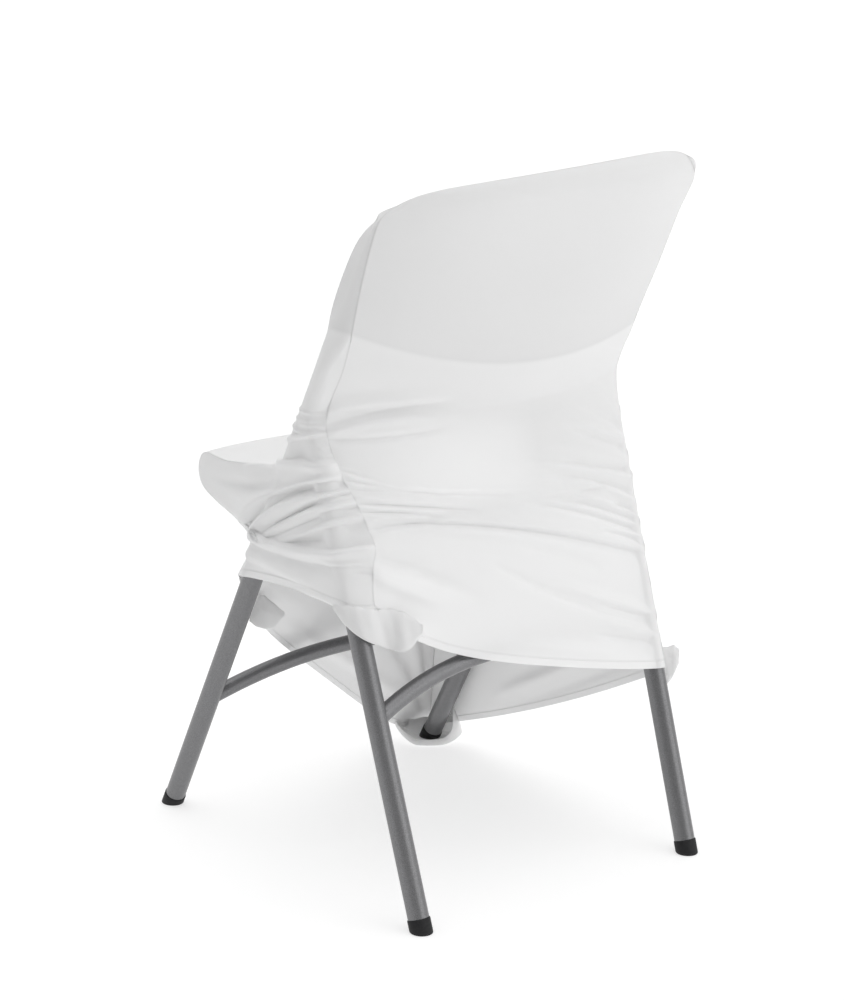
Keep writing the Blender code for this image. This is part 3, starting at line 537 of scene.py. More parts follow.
def seam_pair(row, sign):
    """Rear and front seam points of one side row."""
    front = np.array([row.front_x, row.front_y, row.front_z], float)
    if row.rear_in == 0 and row.rear_behind == 0:
        return front.copy(), front
    foot = FRONT_FOOT if row.rear_z > JOIN[2] else REAR_FOOT
    axis = on_line(foot, JOIN, row.rear_z)
    return np.array([sign * (axis[0] - row.rear_in), axis[1] + row.rear_behind, row.rear_z]), front


# %% [markdown]
# ## Cloth from seam to seam
# A stretched side panel takes the shortest way round the tubes under it. In each row that is the
# outer half of a convex hull round the tubes' sections. The back and the front span the chair
# freely, so their rows are straight lines with the middle moved in or out.


# %% Lines of cloth between the seams
TURN_WEIGHT = 24
LEAST_SINE = 0.25
BUMP_STEPS = 12


def outer_chain(start, end, points):
    """Convex hull of flat points, walked from start to end on its far side."""
    every = sorted(set([start, end] + points))

    def half(source):
        chain = []
        for p in source:
            while len(chain) > 1:
                (ax, ay), (bx, by) = chain[-2], chain[-1]
                if (bx - ax) * (p[1] - ay) - (by - ay) * (p[0] - ax) > 0:
                    break
                chain.pop()
            chain.append(p)
        return chain[:-1]

    ring = half(every) + half(every[::-1])
    if start not in ring or end not in ring:
        return [start, end]
    ring = ring[ring.index(start):] + ring[:ring.index(start)]
    walk = ring[:ring.index(end) + 1]
    other = [start] + ring[ring.index(end):][::-1]
    return walk if len(walk) > len(other) else other


def spaced(chain, count):
    """Points along a chain, closer together where it turns."""
    chain = np.array(chain, float)
    runs = np.linalg.norm(np.diff(chain, axis=0), axis=1)
    turns = np.zeros(len(runs))
    for i in range(1, len(chain) - 1):
        a, b = chain[i] - chain[i - 1], chain[i + 1] - chain[i]
        size = np.linalg.norm(a) * np.linalg.norm(b)
        if size > 1e-9:
            turns[i - 1] = abs(math.acos(max(-1.0, min(1.0, float(a @ b) / size))))
    places = np.concatenate([[0.0], np.cumsum(runs + TURN_WEIGHT * turns)])
    want = np.linspace(0, places[-1], count + 1)
    return np.stack([np.interp(want, places, chain[:, k]) for k in (0, 1)], axis=1)


def side_line(rear, front, sign, reach, depth, count, tip):
    """Cloth drawn from the rear seam to the front seam over the tubes between them."""
    if tip:
        return np.repeat(rear[None, :], count + 1, axis=0)
    run = np.array([0.0, front[1] - rear[1], front[2] - rear[2]])
    length = float(np.linalg.norm(run))
    run /= length
    bumps = []
    for foot, limit in ((FRONT_FOOT, math.inf), (REAR_FOOT, JOIN[2] + 6)):
        lean = np.array([0.0, JOIN[1] - foot[1], JOIN[2]])
        lean /= np.linalg.norm(lean)
        sine = run[1] * lean[2] - run[2] * lean[1]
        if abs(sine) < LEAST_SINE:
            continue
        t = ((foot[1] - rear[1]) * lean[2] - (foot[2] - rear[2]) * lean[1]) / sine
        z = rear[2] + run[2] * t
        if z > limit or t < -2 or t > length + 2:
            continue
        centre = on_line(foot, JOIN, z)[0]
        half = min(depth / abs(sine), max(t, 0.0), max(length - t, 0.0))
        for k in range(BUMP_STEPS + 1):
            angle = math.pi * k / BUMP_STEPS
            bumps.append((t + math.cos(angle) * half, centre + math.sin(angle) * reach))
    flat = spaced(outer_chain((0.0, rear[0] * sign), (length, front[0] * sign), bumps), count)
    return np.stack([sign * flat[:, 1], rear[1] + run[1] * flat[:, 0],
                     rear[2] + run[2] * flat[:, 0]], axis=1)


def across_line(left, right, mid_y, mid_z, power, corner, crown, count):
    """Cloth drawn from seam to seam across the chair, its middle moved by mid_y and mid_z."""
    even = np.linspace(0, 1, count + 1)
    t = 0.5 * even + 0.5 * (0.5 - 0.5 * np.cos(math.pi * even))
    shape = 1 - np.abs(2 * t - 1) ** power
    drop = corner * (1 - (1 - t) ** 6) * (1 - t) ** 0.8
    line = left[None, :] + (right - left)[None, :] * t[:, None]
    line[:, 1] += mid_y * shape
    line[:, 2] += mid_z * shape - drop + crown * (1 - np.abs(2 * t - 1) ** 9)
    return line


# %% The coarse nets
COLUMNS = {"back": 20, "front": 20, "left": 16, "right": 12}
HEM_ROWS = 6


def cover_grids():
    """Coarse grids of points for the four panels; neighbours share their seam points."""
    steps = [row.steps for row in LEFT_ROWS]
    seams = {}
    for name, rows, sign in (("left", LEFT_ROWS, 1), ("right", RIGHT_ROWS, -1)):
        pairs = [seam_pair(row, sign) for row in rows]
        seams[name] = [smooth_through([p[0] for p in pairs], steps),
                       smooth_through([p[1] for p in pairs], steps),
                       smooth_through([(r.reach, r.depth) for r in rows], steps)]
    middle = smooth_through([tuple(m) for m in MIDDLE_ROWS], steps)
    grids = {name: [] for name in COLUMNS}
    for i, row in enumerate(middle):
        rear_l, front_l, size_l = (s[i] for s in seams["left"])
        rear_r, front_r, size_r = (s[i] for s in seams["right"])
        mid = MidRow(*row)
        grids["back"].append(across_line(rear_l, rear_r, mid.back_y, mid.back_z, mid.back_power,
                                         mid.corner, mid.crown, COLUMNS["back"]))
        grids["front"].append(across_line(front_l, front_r, mid.front_y, mid.front_z,
                                          mid.front_power, 0, mid.crown, COLUMNS["front"]))
        low = max(0.0, 1 - (len(middle) - 1 - i) / HEM_ROWS)
        for name, rear, front, sign, size in (("left", rear_l, front_l, 1, size_l),
                                              ("right", rear_r, front_r, -1, size_r)):
            line = side_line(rear, front, sign, size[0], size[1], COLUMNS[name], i == 0)
            share = np.linspace(0, 1, len(line))
            line[:, 2] += SIDE_HEM_ARCH[name] * low * 4 * share * (1 - share)
            grids[name].append(line)
    return {name: np.array(rows) for name, rows in grids.items()}


coarse = cover_grids()
print("coarse panels:", {name: grid.shape[:2] for name, grid in coarse.items()})

# %% [markdown]
# ## From a coarse net to fine cloth
# Each panel's net is refined with the same kind of curve in both directions. Normals are averaged
# over the seams, so a panel and its neighbour stay joined however thick the cloth is made.


# %% Refine and measure
def refined(grid, rows, columns):
    """The grid with finer cells each way, through the same points."""
    def along(values, times):
        flat = values.reshape(len(values), -1)
        return smooth_through(flat, [times] * (len(flat) - 1)).reshape(-1, *values.shape[1:])
    return along(along(grid, rows).transpose(1, 0, 2), columns).transpose(1, 0, 2)


def own_normals(grid, flip):
    """Unit normals of a grid of points, pointing out of the cover."""
    down = np.gradient(grid, axis=0)
    over = np.gradient(grid, axis=1)
    thin = np.linalg.norm(over, axis=2) < 1e-6
    over[thin] = (grid[-1, -1] - grid[-1, 0])
    normal = np.cross(down, over) * (-1.0 if flip else 1.0)
    size = np.linalg.norm(normal, axis=2, keepdims=True)
    return normal / np.maximum(size, 1e-9)


SEAMS = (("back", "left", 0, 0), ("back", "right", -1, 0),
         ("front", "left", 0, -1), ("front", "right", -1, -1))


def joined_at_seams(values, mean):
    """Give both sides of each seam, and of the top edge, the mean of what they have."""
    for a, b, column_a, column_b in SEAMS:
        both = mean(values[a][:, column_a], values[b][:, column_b])
        values[a][:, column_a] = both
        values[b][:, column_b] = both
    top = mean(values["back"][0], values["front"][0])
    values["back"][0] = top
    values["front"][0] = top
    values["left"][0] = top[0]
    values["right"][0] = top[-1]
    return values


def mean_normal(a, b):
    """The unit normal between two."""
    return (a + b) / np.linalg.norm(a + b, axis=1, keepdims=True)


def cover_normals(grids):
    """Normals of all panels, shared where two panels meet."""
    own = {name: own_normals(grid, name in ("front", "left")) for name, grid in grids.items()}
    return joined_at_seams(own, mean_normal)


def run_lengths(grid):
    """Millimetres of cloth down each column and over each row."""
    down, over = np.zeros(grid.shape[:2]), np.zeros(grid.shape[:2])
    down[1:] = np.cumsum(np.linalg.norm(np.diff(grid, axis=0), axis=2), axis=0)
    over[:, 1:] = np.cumsum(np.linalg.norm(np.diff(grid, axis=1), axis=2), axis=1)
    return down, over


ROWS_FINE, COLUMNS_FINE = 8, 6
fine = {name: refined(grid, ROWS_FINE, COLUMNS_FINE) for name, grid in coarse.items()}
normals = cover_normals(fine)
print("fine panels:", {name: grid.shape[:2] for name, grid in fine.items()})

# %% [markdown]
# ## Folds
# Pulled cloth makes ridges and creases that start where it is caught, at a seam, a leg or the one
# pouch still on its foot, and die out in the panel. Each row below is one of them: a path through
# three places in the panel's flat view, how far it stands out (a crease is negative), and how wide
# it is above and below the path. A small width on one side gives that side a sharp edge, as where
# cloth laps over itself. The last two columns say how strong it is at its two ends.
# The side panels are seen from the side (y, z), the back and front from behind (x, z).

# %% Fold tables
Fold = namedtuple("Fold", "a0 z0 am zm a1 z1 rise above below start end")
LEFT_FOLDS = (
    # small gathers across the upright
    Fold(58, 573, 76, 571, 94, 569, 1.6, 1.6, 2.2, 0.8, 0.3),
    Fold(54, 562, 72, 560, 90, 561, 1.6, 1.6, 2.2, 0.8, 0.2),
    Fold(48, 552, 72, 546, 96, 548, 2.4, 1.8, 2.6, 0.9, 0.6),
    Fold(66, 556, 80, 555, 96, 555, 1.2, 1.6, 1.6, 0.3, 0.5),
    # the lap where the upright meets the seat, and the hollow under it
    Fold(34, 530, 64, 540, 98, 547, 3.5, 2.5, 2.5, 1, 0.6),
    Fold(38, 513, 60, 518, 82, 524, -7, 10, 10, 0.6, 0.5),
    Fold(88, 536, 97, 533, 106, 531, 2, 2, 2, 0.5, 1),
    Fold(90, 527, 99, 524, 108, 522, 2, 2, 2, 0.5, 1),
    Fold(92, 518, 101, 516, 110, 514, 2, 2, 2, 0.5, 1),
    # the seat's long edge and the dip below it
    Fold(-60, 480, 40, 506, 112, 512, 7, 2.5, 7, 0.4, 1),
    Fold(-150, 446, -40, 458, 92, 500, -9, 9, 7, 0.3, 0.8),
    Fold(-185, 448, -120, 446, -60, 434, 2.5, 9, 9, 0.2, 0.2),
    # folds that fan out from the front leg to the rear seam
    Fold(-66, 419, 15, 466, 108, 500, 8, 15, 4, 0.7, 1),
    Fold(-56, 414, 14, 457, 106, 489, -15, 5, 4.5, 0.6, 0.9),
    Fold(-36, 416, 34, 456, 122, 484, 6, 2.5, 8, 0.6, 1),
    Fold(-14, 413, 44, 444, 116, 479, -9, 3.5, 2.5, 0.5, 0.9),
    Fold(-4, 414, 60, 449, 128, 472, 4.5, 2.5, 4, 0.5, 1),
    Fold(2, 409, 64, 438, 128, 466, -5.5, 3, 3, 0.6, 0.8),
    Fold(22, 409, 82, 434, 136, 457, 6, 2.5, 4, 0.5, 1),
    Fold(22, 406, 76, 420, 124, 438, -13, 9, 7, 0.3, 0.6),
    # the lap that runs from the front leg round the rear leg
    Fold(-34, 404, 60, 407, 152, 424, 9, 2.2, 8, 1, 1),
    Fold(0, 390, 60, 391, 150, 402, -5, 5, 9, 0.3, 0.6),
    Fold(84, 396, 126, 397, 166, 391, -3, 2.5, 2.5, 0.2, 1),
    Fold(100, 403, 134, 405, 166, 402, 2.5, 3, 3, 0.2, 1),
    # soft folds above the hem
    Fold(-48, 377, 20, 375, 120, 364, 4.5, 9, 6, 0.8, 0.4),
    Fold(50, 354, 112, 360, 170, 350, 4.5, 4, 4, 0.2, 1),
    Fold(78, 352, 124, 348, 168, 342, -3.5, 3, 3, 0.3, 0.8),
)
BACK_FOLDS = (
    # long soft folds from the upper left seam
    Fold(212, 573, 150, 582, 60, 577, 4, 9, 6, 1, 0),
    Fold(207, 556, 140, 567, 60, 571, -3.5, 5, 5, 0.9, 0),
    Fold(204, 549, 140, 557, 50, 549, 4, 7, 6, 0.9, 0),
    Fold(210, 540, 145, 538, 70, 541, -4, 4, 4, 1, 0),
    Fold(178, 488, 60, 474, -90, 456, 7, 30, 16, 0.2, 0.1),
    # fine creases from the rear leg's top
    Fold(206, 509, 160, 491, 100, 474, -2.5, 2.5, 2.5, 1, 0),
    Fold(204, 503, 155, 489, 110, 478, 2, 3, 3, 1, 0),
    Fold(203, 497, 152, 483, 88, 471, -2.5, 2.5, 2.5, 1, 0),
    Fold(200, 491, 130, 479, 40, 468, 2.5, 3.5, 3.5, 1, 0),
    Fold(198, 486, 100, 472, -40, 450, -3, 3.5, 3, 1, 0.1),
    Fold(194, 477, 130, 466, 60, 455, 2.5, 3, 3, 1, 0.2),
    Fold(192, 470, 122, 459, 40, 443, -3, 2.5, 3, 1, 0.3),
    Fold(190, 465, 139, 457, 90, 449, 2.5, 2.5, 2.5, 1, 0.3),
    Fold(190, 461, 142, 454, 92, 443, -3, 2.5, 2.5, 1, 0.6),
    Fold(186, 451, 145, 450, 100, 446, 3, 4, 2.5, 1, 0.3),
    Fold(186, 441, 150, 442, 104, 441, -5, 4, 4, 0.7, 0.8),
    # the main crease across the back, lapped from above
    Fold(130, 447, -38, 413, -208, 357, 4.4, 9, 2.5, 0.4, 0.8),
    Fold(130, 441, -38, 408, -208, 351, -4.6, 2.4, 7, 0.7, 0.6),
    Fold(110, 432, 10, 412, -90, 382, 2.5, 5, 7, 0.3, 0),
    # gathers that meet the right edge
    Fold(-30, 449, -110, 439, -172, 442, -3, 4, 5, 0.1, 0.3),
    Fold(-10, 446, -105, 421, -210, 378, -4, 6, 3.5, 0.1, 1),
    Fold(-50, 441, -130, 417, -212, 383, 3, 4, 3, 0.1, 1),
    Fold(-70, 440, -140, 419, -214, 388, -3.5, 3.5, 3, 0.1, 1),
    Fold(-70, 448, -140, 429, -214, 394, 3, 4, 4, 0.1, 1),
    Fold(-90, 484, -150, 464, -212, 449, -3.5, 4, 4, 0.1, 1),
    Fold(-40, 488, -125, 467, -212, 441, 3.5, 4, 4, 0.1, 0.9),
    Fold(-60, 471, -140, 450, -212, 422, -3.5, 4, 3, 0.1, 1),
    Fold(-90, 458, -150, 442, -213, 413, 3, 5, 4, 0.1, 0.9),
    Fold(-176, 416, -196, 408, -217, 397, -5, 2.5, 2.5, 0.3, 1),
    Fold(-140, 396, -180, 384, -214, 370, 3, 4, 4, 0.1, 1),
    Fold(-150, 388, -184, 377, -214, 362, -3, 3, 3, 0.1, 1),
    # soft folds below the backrest on the right
    Fold(-135, 568, -180, 546, -212, 516, 1.8, 7, 7, 0, 1),
    Fold(-120, 546, -170, 523, -214, 500, -2.2, 7, 6, 0, 1),
    Fold(-100, 532, -160, 508, -212, 487, 3.5, 7, 6, 0, 1),
    Fold(-100, 520, -160, 497, -212, 475, -3.5, 6, 5, 0, 1),
    Fold(-60, 505, -140, 484, -212, 460, 2.5, 8, 7, 0, 1),
    # lower back
    Fold(188, 392, 152, 371, 96, 346, 4, 9, 7, 1, 0),
    Fold(185, 408, 125, 383, 45, 341, -4, 9, 9, 1, 0),
    Fold(-10, 396, -76, 373, -140, 345, -2.5, 9, 8, 0, 0),
    Fold(30, 381, -90, 316, -212, 270, -4, 7, 5, 0, 1),
    Fold(-70, 340, -146, 307, -212, 279, 3, 7, 4, 0, 1),
    Fold(-110, 316, -165, 293, -212, 277, -2.5, 3, 3, 0, 1),
    Fold(-110, 275, -160, 262, -213, 246, -3, 4, 4, 0.1, 1),
    Fold(-130, 285, -170, 270, -213, 256, 2.5, 4, 4, 0.1, 1),
    Fold(60, 300, -60, 268, -160, 243, 2.5, 9, 8, 0, 0.2),
)
RIGHT_FOLDS = (
    Fold(112, 516, 70, 522, 20, 530, 3, 5, 5, 1, 0.1),
    Fold(115, 488, 60, 492, 0, 504, -3, 6, 6, 1, 0.1),
    Fold(130, 462, 70, 474, 10, 486, 3, 6, 5, 1, 0.1),
    Fold(132, 449, 70, 456, -10, 470, -3.5, 5, 4, 1, 0.1),
    Fold(135, 441, 60, 444, -40, 455, 4, 6, 5, 1, 0.1),
    Fold(137, 422, 60, 424, -60, 436, -4, 5, 4, 1, 0.1),
    Fold(143, 397, 50, 400, -90, 415, -5, 4, 4, 1, 0.1),
    Fold(146, 386, 60, 384, -80, 392, 4, 6, 5, 1, 0.1),
    Fold(150, 378, 50, 366, -110, 350, -4, 7, 6, 1, 0.1),
    Fold(158, 358, 50, 330, -130, 270, 5, 9, 7, 1, 0.2),
    Fold(160, 351, 50, 310, -130, 230, -6, 4, 8, 1, 0.2),
    Fold(172, 318, 60, 268, -120, 170, 4, 10, 9, 0.3, 0.6),
    Fold(185, 278, 80, 222, -110, 120, 4, 9, 7, 1, 0.5),
    Fold(186, 270, 80, 208, -130, 95, -4, 6, 8, 1, 0.5),
    Fold(196, 246, 100, 190, -90, 92, 3, 7, 6, 1, 0.3),
)
FRONT_FOLDS = (
    # inside of the back, above the seat
    Fold(205, 568, 150, 566, 70, 560, 3, 5, 5, 1, 0),
    Fold(205, 552, 150, 546, 60, 540, -3.5, 5, 5, 1, 0),
    Fold(207, 537, 140, 528, 50, 522, 3, 6, 6, 1, 0),
    Fold(-206, 562, -150, 556, -60, 552, 3, 6, 6, 1, 0),
    Fold(-206, 545, -140, 536, -60, 530, -3.5, 5, 5, 1, 0),
    Fold(-206, 528, -150, 520, -80, 514, 3, 5, 5, 1, 0),
    # skirt, drawn down to the one pouch still on its foot
    Fold(-205, 52, -110, 172, 60, 296, 5, 9, 7, 1, 0),
    Fold(-206, 66, -120, 214, 40, 340, -4, 9, 8, 1, 0),
    Fold(-207, 84, -140, 250, -10, 380, 4, 10, 9, 1, 0),
    Fold(-200, 38, -60, 138, 130, 262, -4, 7, 7, 1, 0.2),
    Fold(190, 418, 90, 396, -40, 390, 3, 9, 9, 0.8, 0),
    Fold(196, 392, 100, 362, -30, 340, -4, 9, 9, 0.8, 0),
    Fold(200, 372, 120, 330, 0, 290, 4, 9, 8, 0.8, 0),
)
FOLDS = {"left": LEFT_FOLDS, "back": BACK_FOLDS, "right": RIGHT_FOLDS, "front": FRONT_FOLDS}
print("folds:", {name: len(rows) for name, rows in FOLDS.items()})


# %% Lay the folds
STEPS_ALONG = np.linspace(0, 1, 97)[:, None]
CLEAR_OF_TUBE = 13.3
OPEN_ROOM, LEAST_ROOM = 60.0, 0.3
CALM_WIDTH, CALM_SHARE = 7.0, 0.4
TUBES = [(foot, limit, sign) for sign in (1, -1) for foot, limit in (
    (FRONT_FOOT, UPRIGHT_END * BACK_UP[2] + 6), (REAR_FOOT, JOIN[2]))]


def fold_path(fold):
    """Points and directions along a fold, on the parabola through its three places."""
    first, middle, last = np.array(fold[:6], float).reshape(3, 2)
    bend = 2 * middle - (first + last) / 2
    t = STEPS_ALONG
    points = first * (1 - t) ** 2 + bend * 2 * t * (1 - t) + last * t ** 2
    lines = np.gradient(points, axis=0)
    return points, lines / np.linalg.norm(lines, axis=1, keepdims=True)


def fold_strength(fold, t):
    """Full in the middle, and `start` and `end` at the two ends."""
    ease = np.sin(math.pi * np.clip(t, 0, 1)) ** 0.8
    side = np.where(t < 0.5, fold.start, fold.end)
    return side + (1 - side) * ease


def fold_rise(name, grid):
    """Sum of a panel's folds at every point of its grid."""
    flat = grid[:, :, [0 if name in ("back", "front") else 1, 2]].reshape(-1, 2)
    rise = np.zeros(len(flat))
    for fold in FOLDS[name]:
        points, lines = fold_path(fold)
        reach = 3 * max(fold.above, fold.below)
        within = (flat > points.min(0) - reach) & (flat < points.max(0) + reach)
        near = np.nonzero(within.all(1))[0]
        away = flat[near][:, None, :] - points[None]
        nearest = (away ** 2).sum(2).argmin(1)
        off = away[np.arange(len(near)), nearest]
        line = lines[nearest]
        side = np.where(line[:, 0] < 0, -1.0, 1.0)
        up = side * (line[:, 0] * off[:, 1] - line[:, 1] * off[:, 0])
        past = (off * line).sum(1) * ((nearest == 0) | (nearest == len(points) - 1))
        width = np.where(up > 0, fold.above, fold.below)
        level = fold_strength(fold, nearest / (len(points) - 1.0))
        ends = past / (fold.above + fold.below)
        rise[near] += fold.rise * level * np.exp(-(up / width) ** 2 - ends ** 2)
    return rise.reshape(grid.shape[:2])


def nearest_on_tube(points, foot, sign):
    """The nearest place to each point on one tube's middle line."""
    a, b = (foot, JOIN) if sign > 0 else (mirrored(foot), mirrored(JOIN))
    along = (b - a) / np.linalg.norm(b - a)
    return a + ((points - a) @ along)[..., None] * along


def out_of_tubes(points):
    """Push cloth points off the tubes they would sink into."""
    for foot, limit, sign in TUBES:
        near = nearest_on_tube(points, foot, sign)
        off = points - near
        size = np.linalg.norm(off, axis=-1, keepdims=True)
        inside = (size < CLEAR_OF_TUBE) & (points[..., 2:] < limit) & (points[..., :1] * sign > 0)
        points = np.where(inside, near + off / np.maximum(size, 1e-6) * CLEAR_OF_TUBE, points)
    return points


def room_over_tubes(points):
    """How far the cloth can sink before it lies on a tube."""
    room = np.full(points.shape[:-1], OPEN_ROOM)
    for foot, limit, sign in TUBES:
        gap = np.linalg.norm(points - nearest_on_tube(points, foot, sign), axis=-1) - CLEAR_OF_TUBE
        gap = np.where(points[..., 2] < limit, gap, OPEN_ROOM)
        room = np.minimum(room, np.maximum(gap, LEAST_ROOM))
    return room


def eased(rise, room):
    """Let a trough sink only into the room there is, without a hard stop."""
    return np.where(rise < 0, -room * (1 - np.exp(rise / room)), rise)


def calm_at_seams(grid):
    """A seam holds the cloth flatter, so folds are weaker close to it."""
    over = run_lengths(grid)[1]
    away = np.minimum(over, over[:, -1:] - over)
    return CALM_SHARE + (1 - CALM_SHARE) * (1 - np.exp(-(away / CALM_WIDTH) ** 2))


own_rises = {name: eased(fold_rise(name, grid) * calm_at_seams(grid), room_over_tubes(grid))
             for name, grid in fine.items()}
rises = joined_at_seams(own_rises, lambda a, b: (a + b) / 2)
cloth = {name: out_of_tubes(fine[name] + normals[name] * rises[name][..., None]) for name in fine}
cloth_normals = cover_normals(cloth)
print("deepest fold:", {name: round(float(np.abs(r).max()), 1) for name, r in rises.items()}, "mm")

# %% [markdown]
# ## Cloth with thickness
# A knitted cover is under a millimetre thick, so each panel becomes a thin closed sheet: the same
# net twice, a little apart, with its rim sewn shut. The flat size of each cut is measured on the net.


# %% From nets to sheets
THICK, POUCH_THICK = 1.2, 0.9
LEAST_SHARE = 0.31
NO_HEM = 90.0
MERGE_WITHIN = 0.00001


def give_numbers(mesh, name, values):
    """Store one number for each vertex of the outer and the inner face."""
    layer = mesh.attributes.new(name, "FLOAT", "POINT")
    layer.data.foreach_set("value", np.concatenate([values.ravel()] * 2).astype(np.float32))


def closed_object(name, mesh, smooth_under):
    """Link a closed mesh as an object, merge its doubles and turn its faces outwards."""
    made = bpy.data.objects.new(name, mesh)
    bpy.context.scene.collection.objects.link(made)
    pick(made)
    bpy.ops.object.mode_set(mode="EDIT")
    bpy.ops.mesh.select_all(action="SELECT")
    bpy.ops.mesh.remove_doubles(threshold=MERGE_WITHIN)
    bpy.ops.mesh.normals_make_consistent(inside=False)
    bpy.ops.object.mode_set(mode="OBJECT")
    bpy.ops.object.shade_smooth_by_angle(angle=math.radians(smooth_under))
    return made


def sheet_object(name, grid, normal, thick, ring=False):
    """A closed thin sheet from a grid of points, its UV map in metres of cloth."""
    rows, cols = grid.shape[:2]
    outer = to_frame(grid + normal * thick / 2).reshape(-1, 3)
    inner = to_frame(grid - normal * thick / 2).reshape(-1, 3)
    index = np.arange(rows * cols).reshape(rows, cols)
    a, b = index[:-1, :-1].ravel(), index[:-1, 1:].ravel()
    c, d = index[1:, 1:].ravel(), index[1:, :-1].ravel()
    shift = rows * cols
    faces = [np.stack([a, b, c, d], 1), np.stack([a, d, c, b], 1) + shift]
    if ring:
        rim, after = index[-1, :-1], index[-1, 1:]
    else:
        rim = np.concatenate([index[0, :], index[1:, -1], index[-1, -2::-1], index[-2:0:-1, 0]])
        after = np.roll(rim, -1)
    faces.append(np.stack([rim, rim + shift, after + shift, after], 1))
    mesh = bpy.data.meshes.new(name)
    mesh.from_pydata(np.concatenate([outer, inner]).tolist(), [], np.concatenate(faces).tolist())
    down, over = run_lengths(grid)
    plain = np.full(down.shape, NO_HEM)
    give_numbers(mesh, "hem", plain if ring else down[-1:] - down)
    give_numbers(mesh, "seam", plain if ring else np.minimum(over, over[:, -1:] - over))
    centred = over - over[:, cols // 2][:, None]
    flat = np.stack([centred.ravel(), down.ravel()], 1) / 1000.0
    layer = mesh.uv_layers.new(name="cloth")
    corner = np.zeros(len(mesh.loops), np.int32)
    mesh.loops.foreach_get("vertex_index", corner)
    layer.data.foreach_set("uv", np.concatenate([flat, flat])[corner].ravel())
    return closed_object(name, mesh, 70)


def cut_size(grid):
    """Widest row, mean column and area of the flat cut, in metres."""
    down, over = run_lengths(grid)
    slant = np.cross(grid[1:, 1:] - grid[:-1, :-1], grid[1:, :-1] - grid[:-1, 1:])
    area = 0.5 * np.linalg.norm(slant, axis=2).sum() / 1e6
    wide = over[:, -1].max() / 1000.0
    return wide, min(down[-1].mean() / 1000.0, area / (LEAST_SHARE * wide)), area


# %% [markdown]
# ## The knit's finish
# The cloth is bright, matt and a little see-through. Real transparency would cost light and noise,
# so light and shade are painted into the material: painted shade over the backrest pad, darkest at
# its lower edge, and a faint painted glow between the pads, where there is only one layer of cloth.

# %% Make the knit
CLOTH_WHITE = 0.90
# painted shade over the backrest pad: its strength, fade and depth, and a darker painted line at the
# pad's lower edge
PAD_SHADE, PAD_SHADE_FADE, PAD_SHADE_DEPTH = 0.10, 0.8, 0.20
PAD_EDGE_SHADE, PAD_EDGE_SHADE_AT, PAD_SHADE_SOFT = 0.035, 0.001, 0.004
PAD_LOWEST_X, PAD_EDGE_Z, PAD_EDGE_BOW = -0.056, 0.609, 0.78
# painted glow: emission where light would come through the single cloth between the pads
THROUGH_LIGHT, THROUGH_BEHIND, THROUGH_SOFT = 0.10, 0.08, 0.04
THROUGH_PATCH = (("X", 0.078, 0.13), ("Z", 0.505, 0.06))


def painted_pad_shade(tree, axes):
    """Painted shade on the cloth over the backrest pad, with a darker painted line at the pad's edge.
    """
    x = math_node(tree, "SUBTRACT", axes.outputs["X"], PAD_LOWEST_X)
    bow = math_node(tree, "MULTIPLY", math_node(tree, "MULTIPLY", x, x), PAD_EDGE_BOW)
    above = math_node(tree, "SUBTRACT", axes.outputs["Z"], math_node(tree, "ADD", bow, PAD_EDGE_Z))
    inside = math_node(tree, "DIVIDE", above, PAD_SHADE_SOFT, clamp=True)
    deeper = math_node(tree, "DIVIDE", above, PAD_SHADE_DEPTH, clamp=True)
    faded = math_node(tree, "MULTIPLY", deeper, PAD_SHADE * PAD_SHADE_FADE)
    full = math_node(tree, "SUBTRACT", PAD_SHADE, faded)
    off = math_node(tree, "DIVIDE", math_node(tree, "SUBTRACT", above, PAD_EDGE_SHADE_AT), PAD_SHADE_SOFT)
    edge = math_node(tree, "SUBTRACT", 1.0, math_node(tree, "ABSOLUTE", off), clamp=True)
    shade_over_pad = math_node(tree, "MULTIPLY", inside, full)
    return math_node(tree, "ADD", shade_over_pad, math_node(tree, "MULTIPLY", edge, PAD_EDGE_SHADE))


def through_patch(tree, axes):
    """Where a glow is painted for light coming through: between the pads, where the cloth is single.
    """
    behind = math_node(tree, "SUBTRACT", axes.outputs["Y"], THROUGH_BEHIND)
    patch = math_node(tree, "DIVIDE", behind, THROUGH_SOFT, clamp=True)
    for axis, middle, half in THROUGH_PATCH:
        off = math_node(tree, "DIVIDE", math_node(tree, "SUBTRACT", axes.outputs[axis], middle), half)
        dome = math_node(tree, "SUBTRACT", 1.0, math_node(tree, "MULTIPLY", off, off), clamp=True)
        patch = math_node(tree, "MULTIPLY", patch, dome)
    return patch


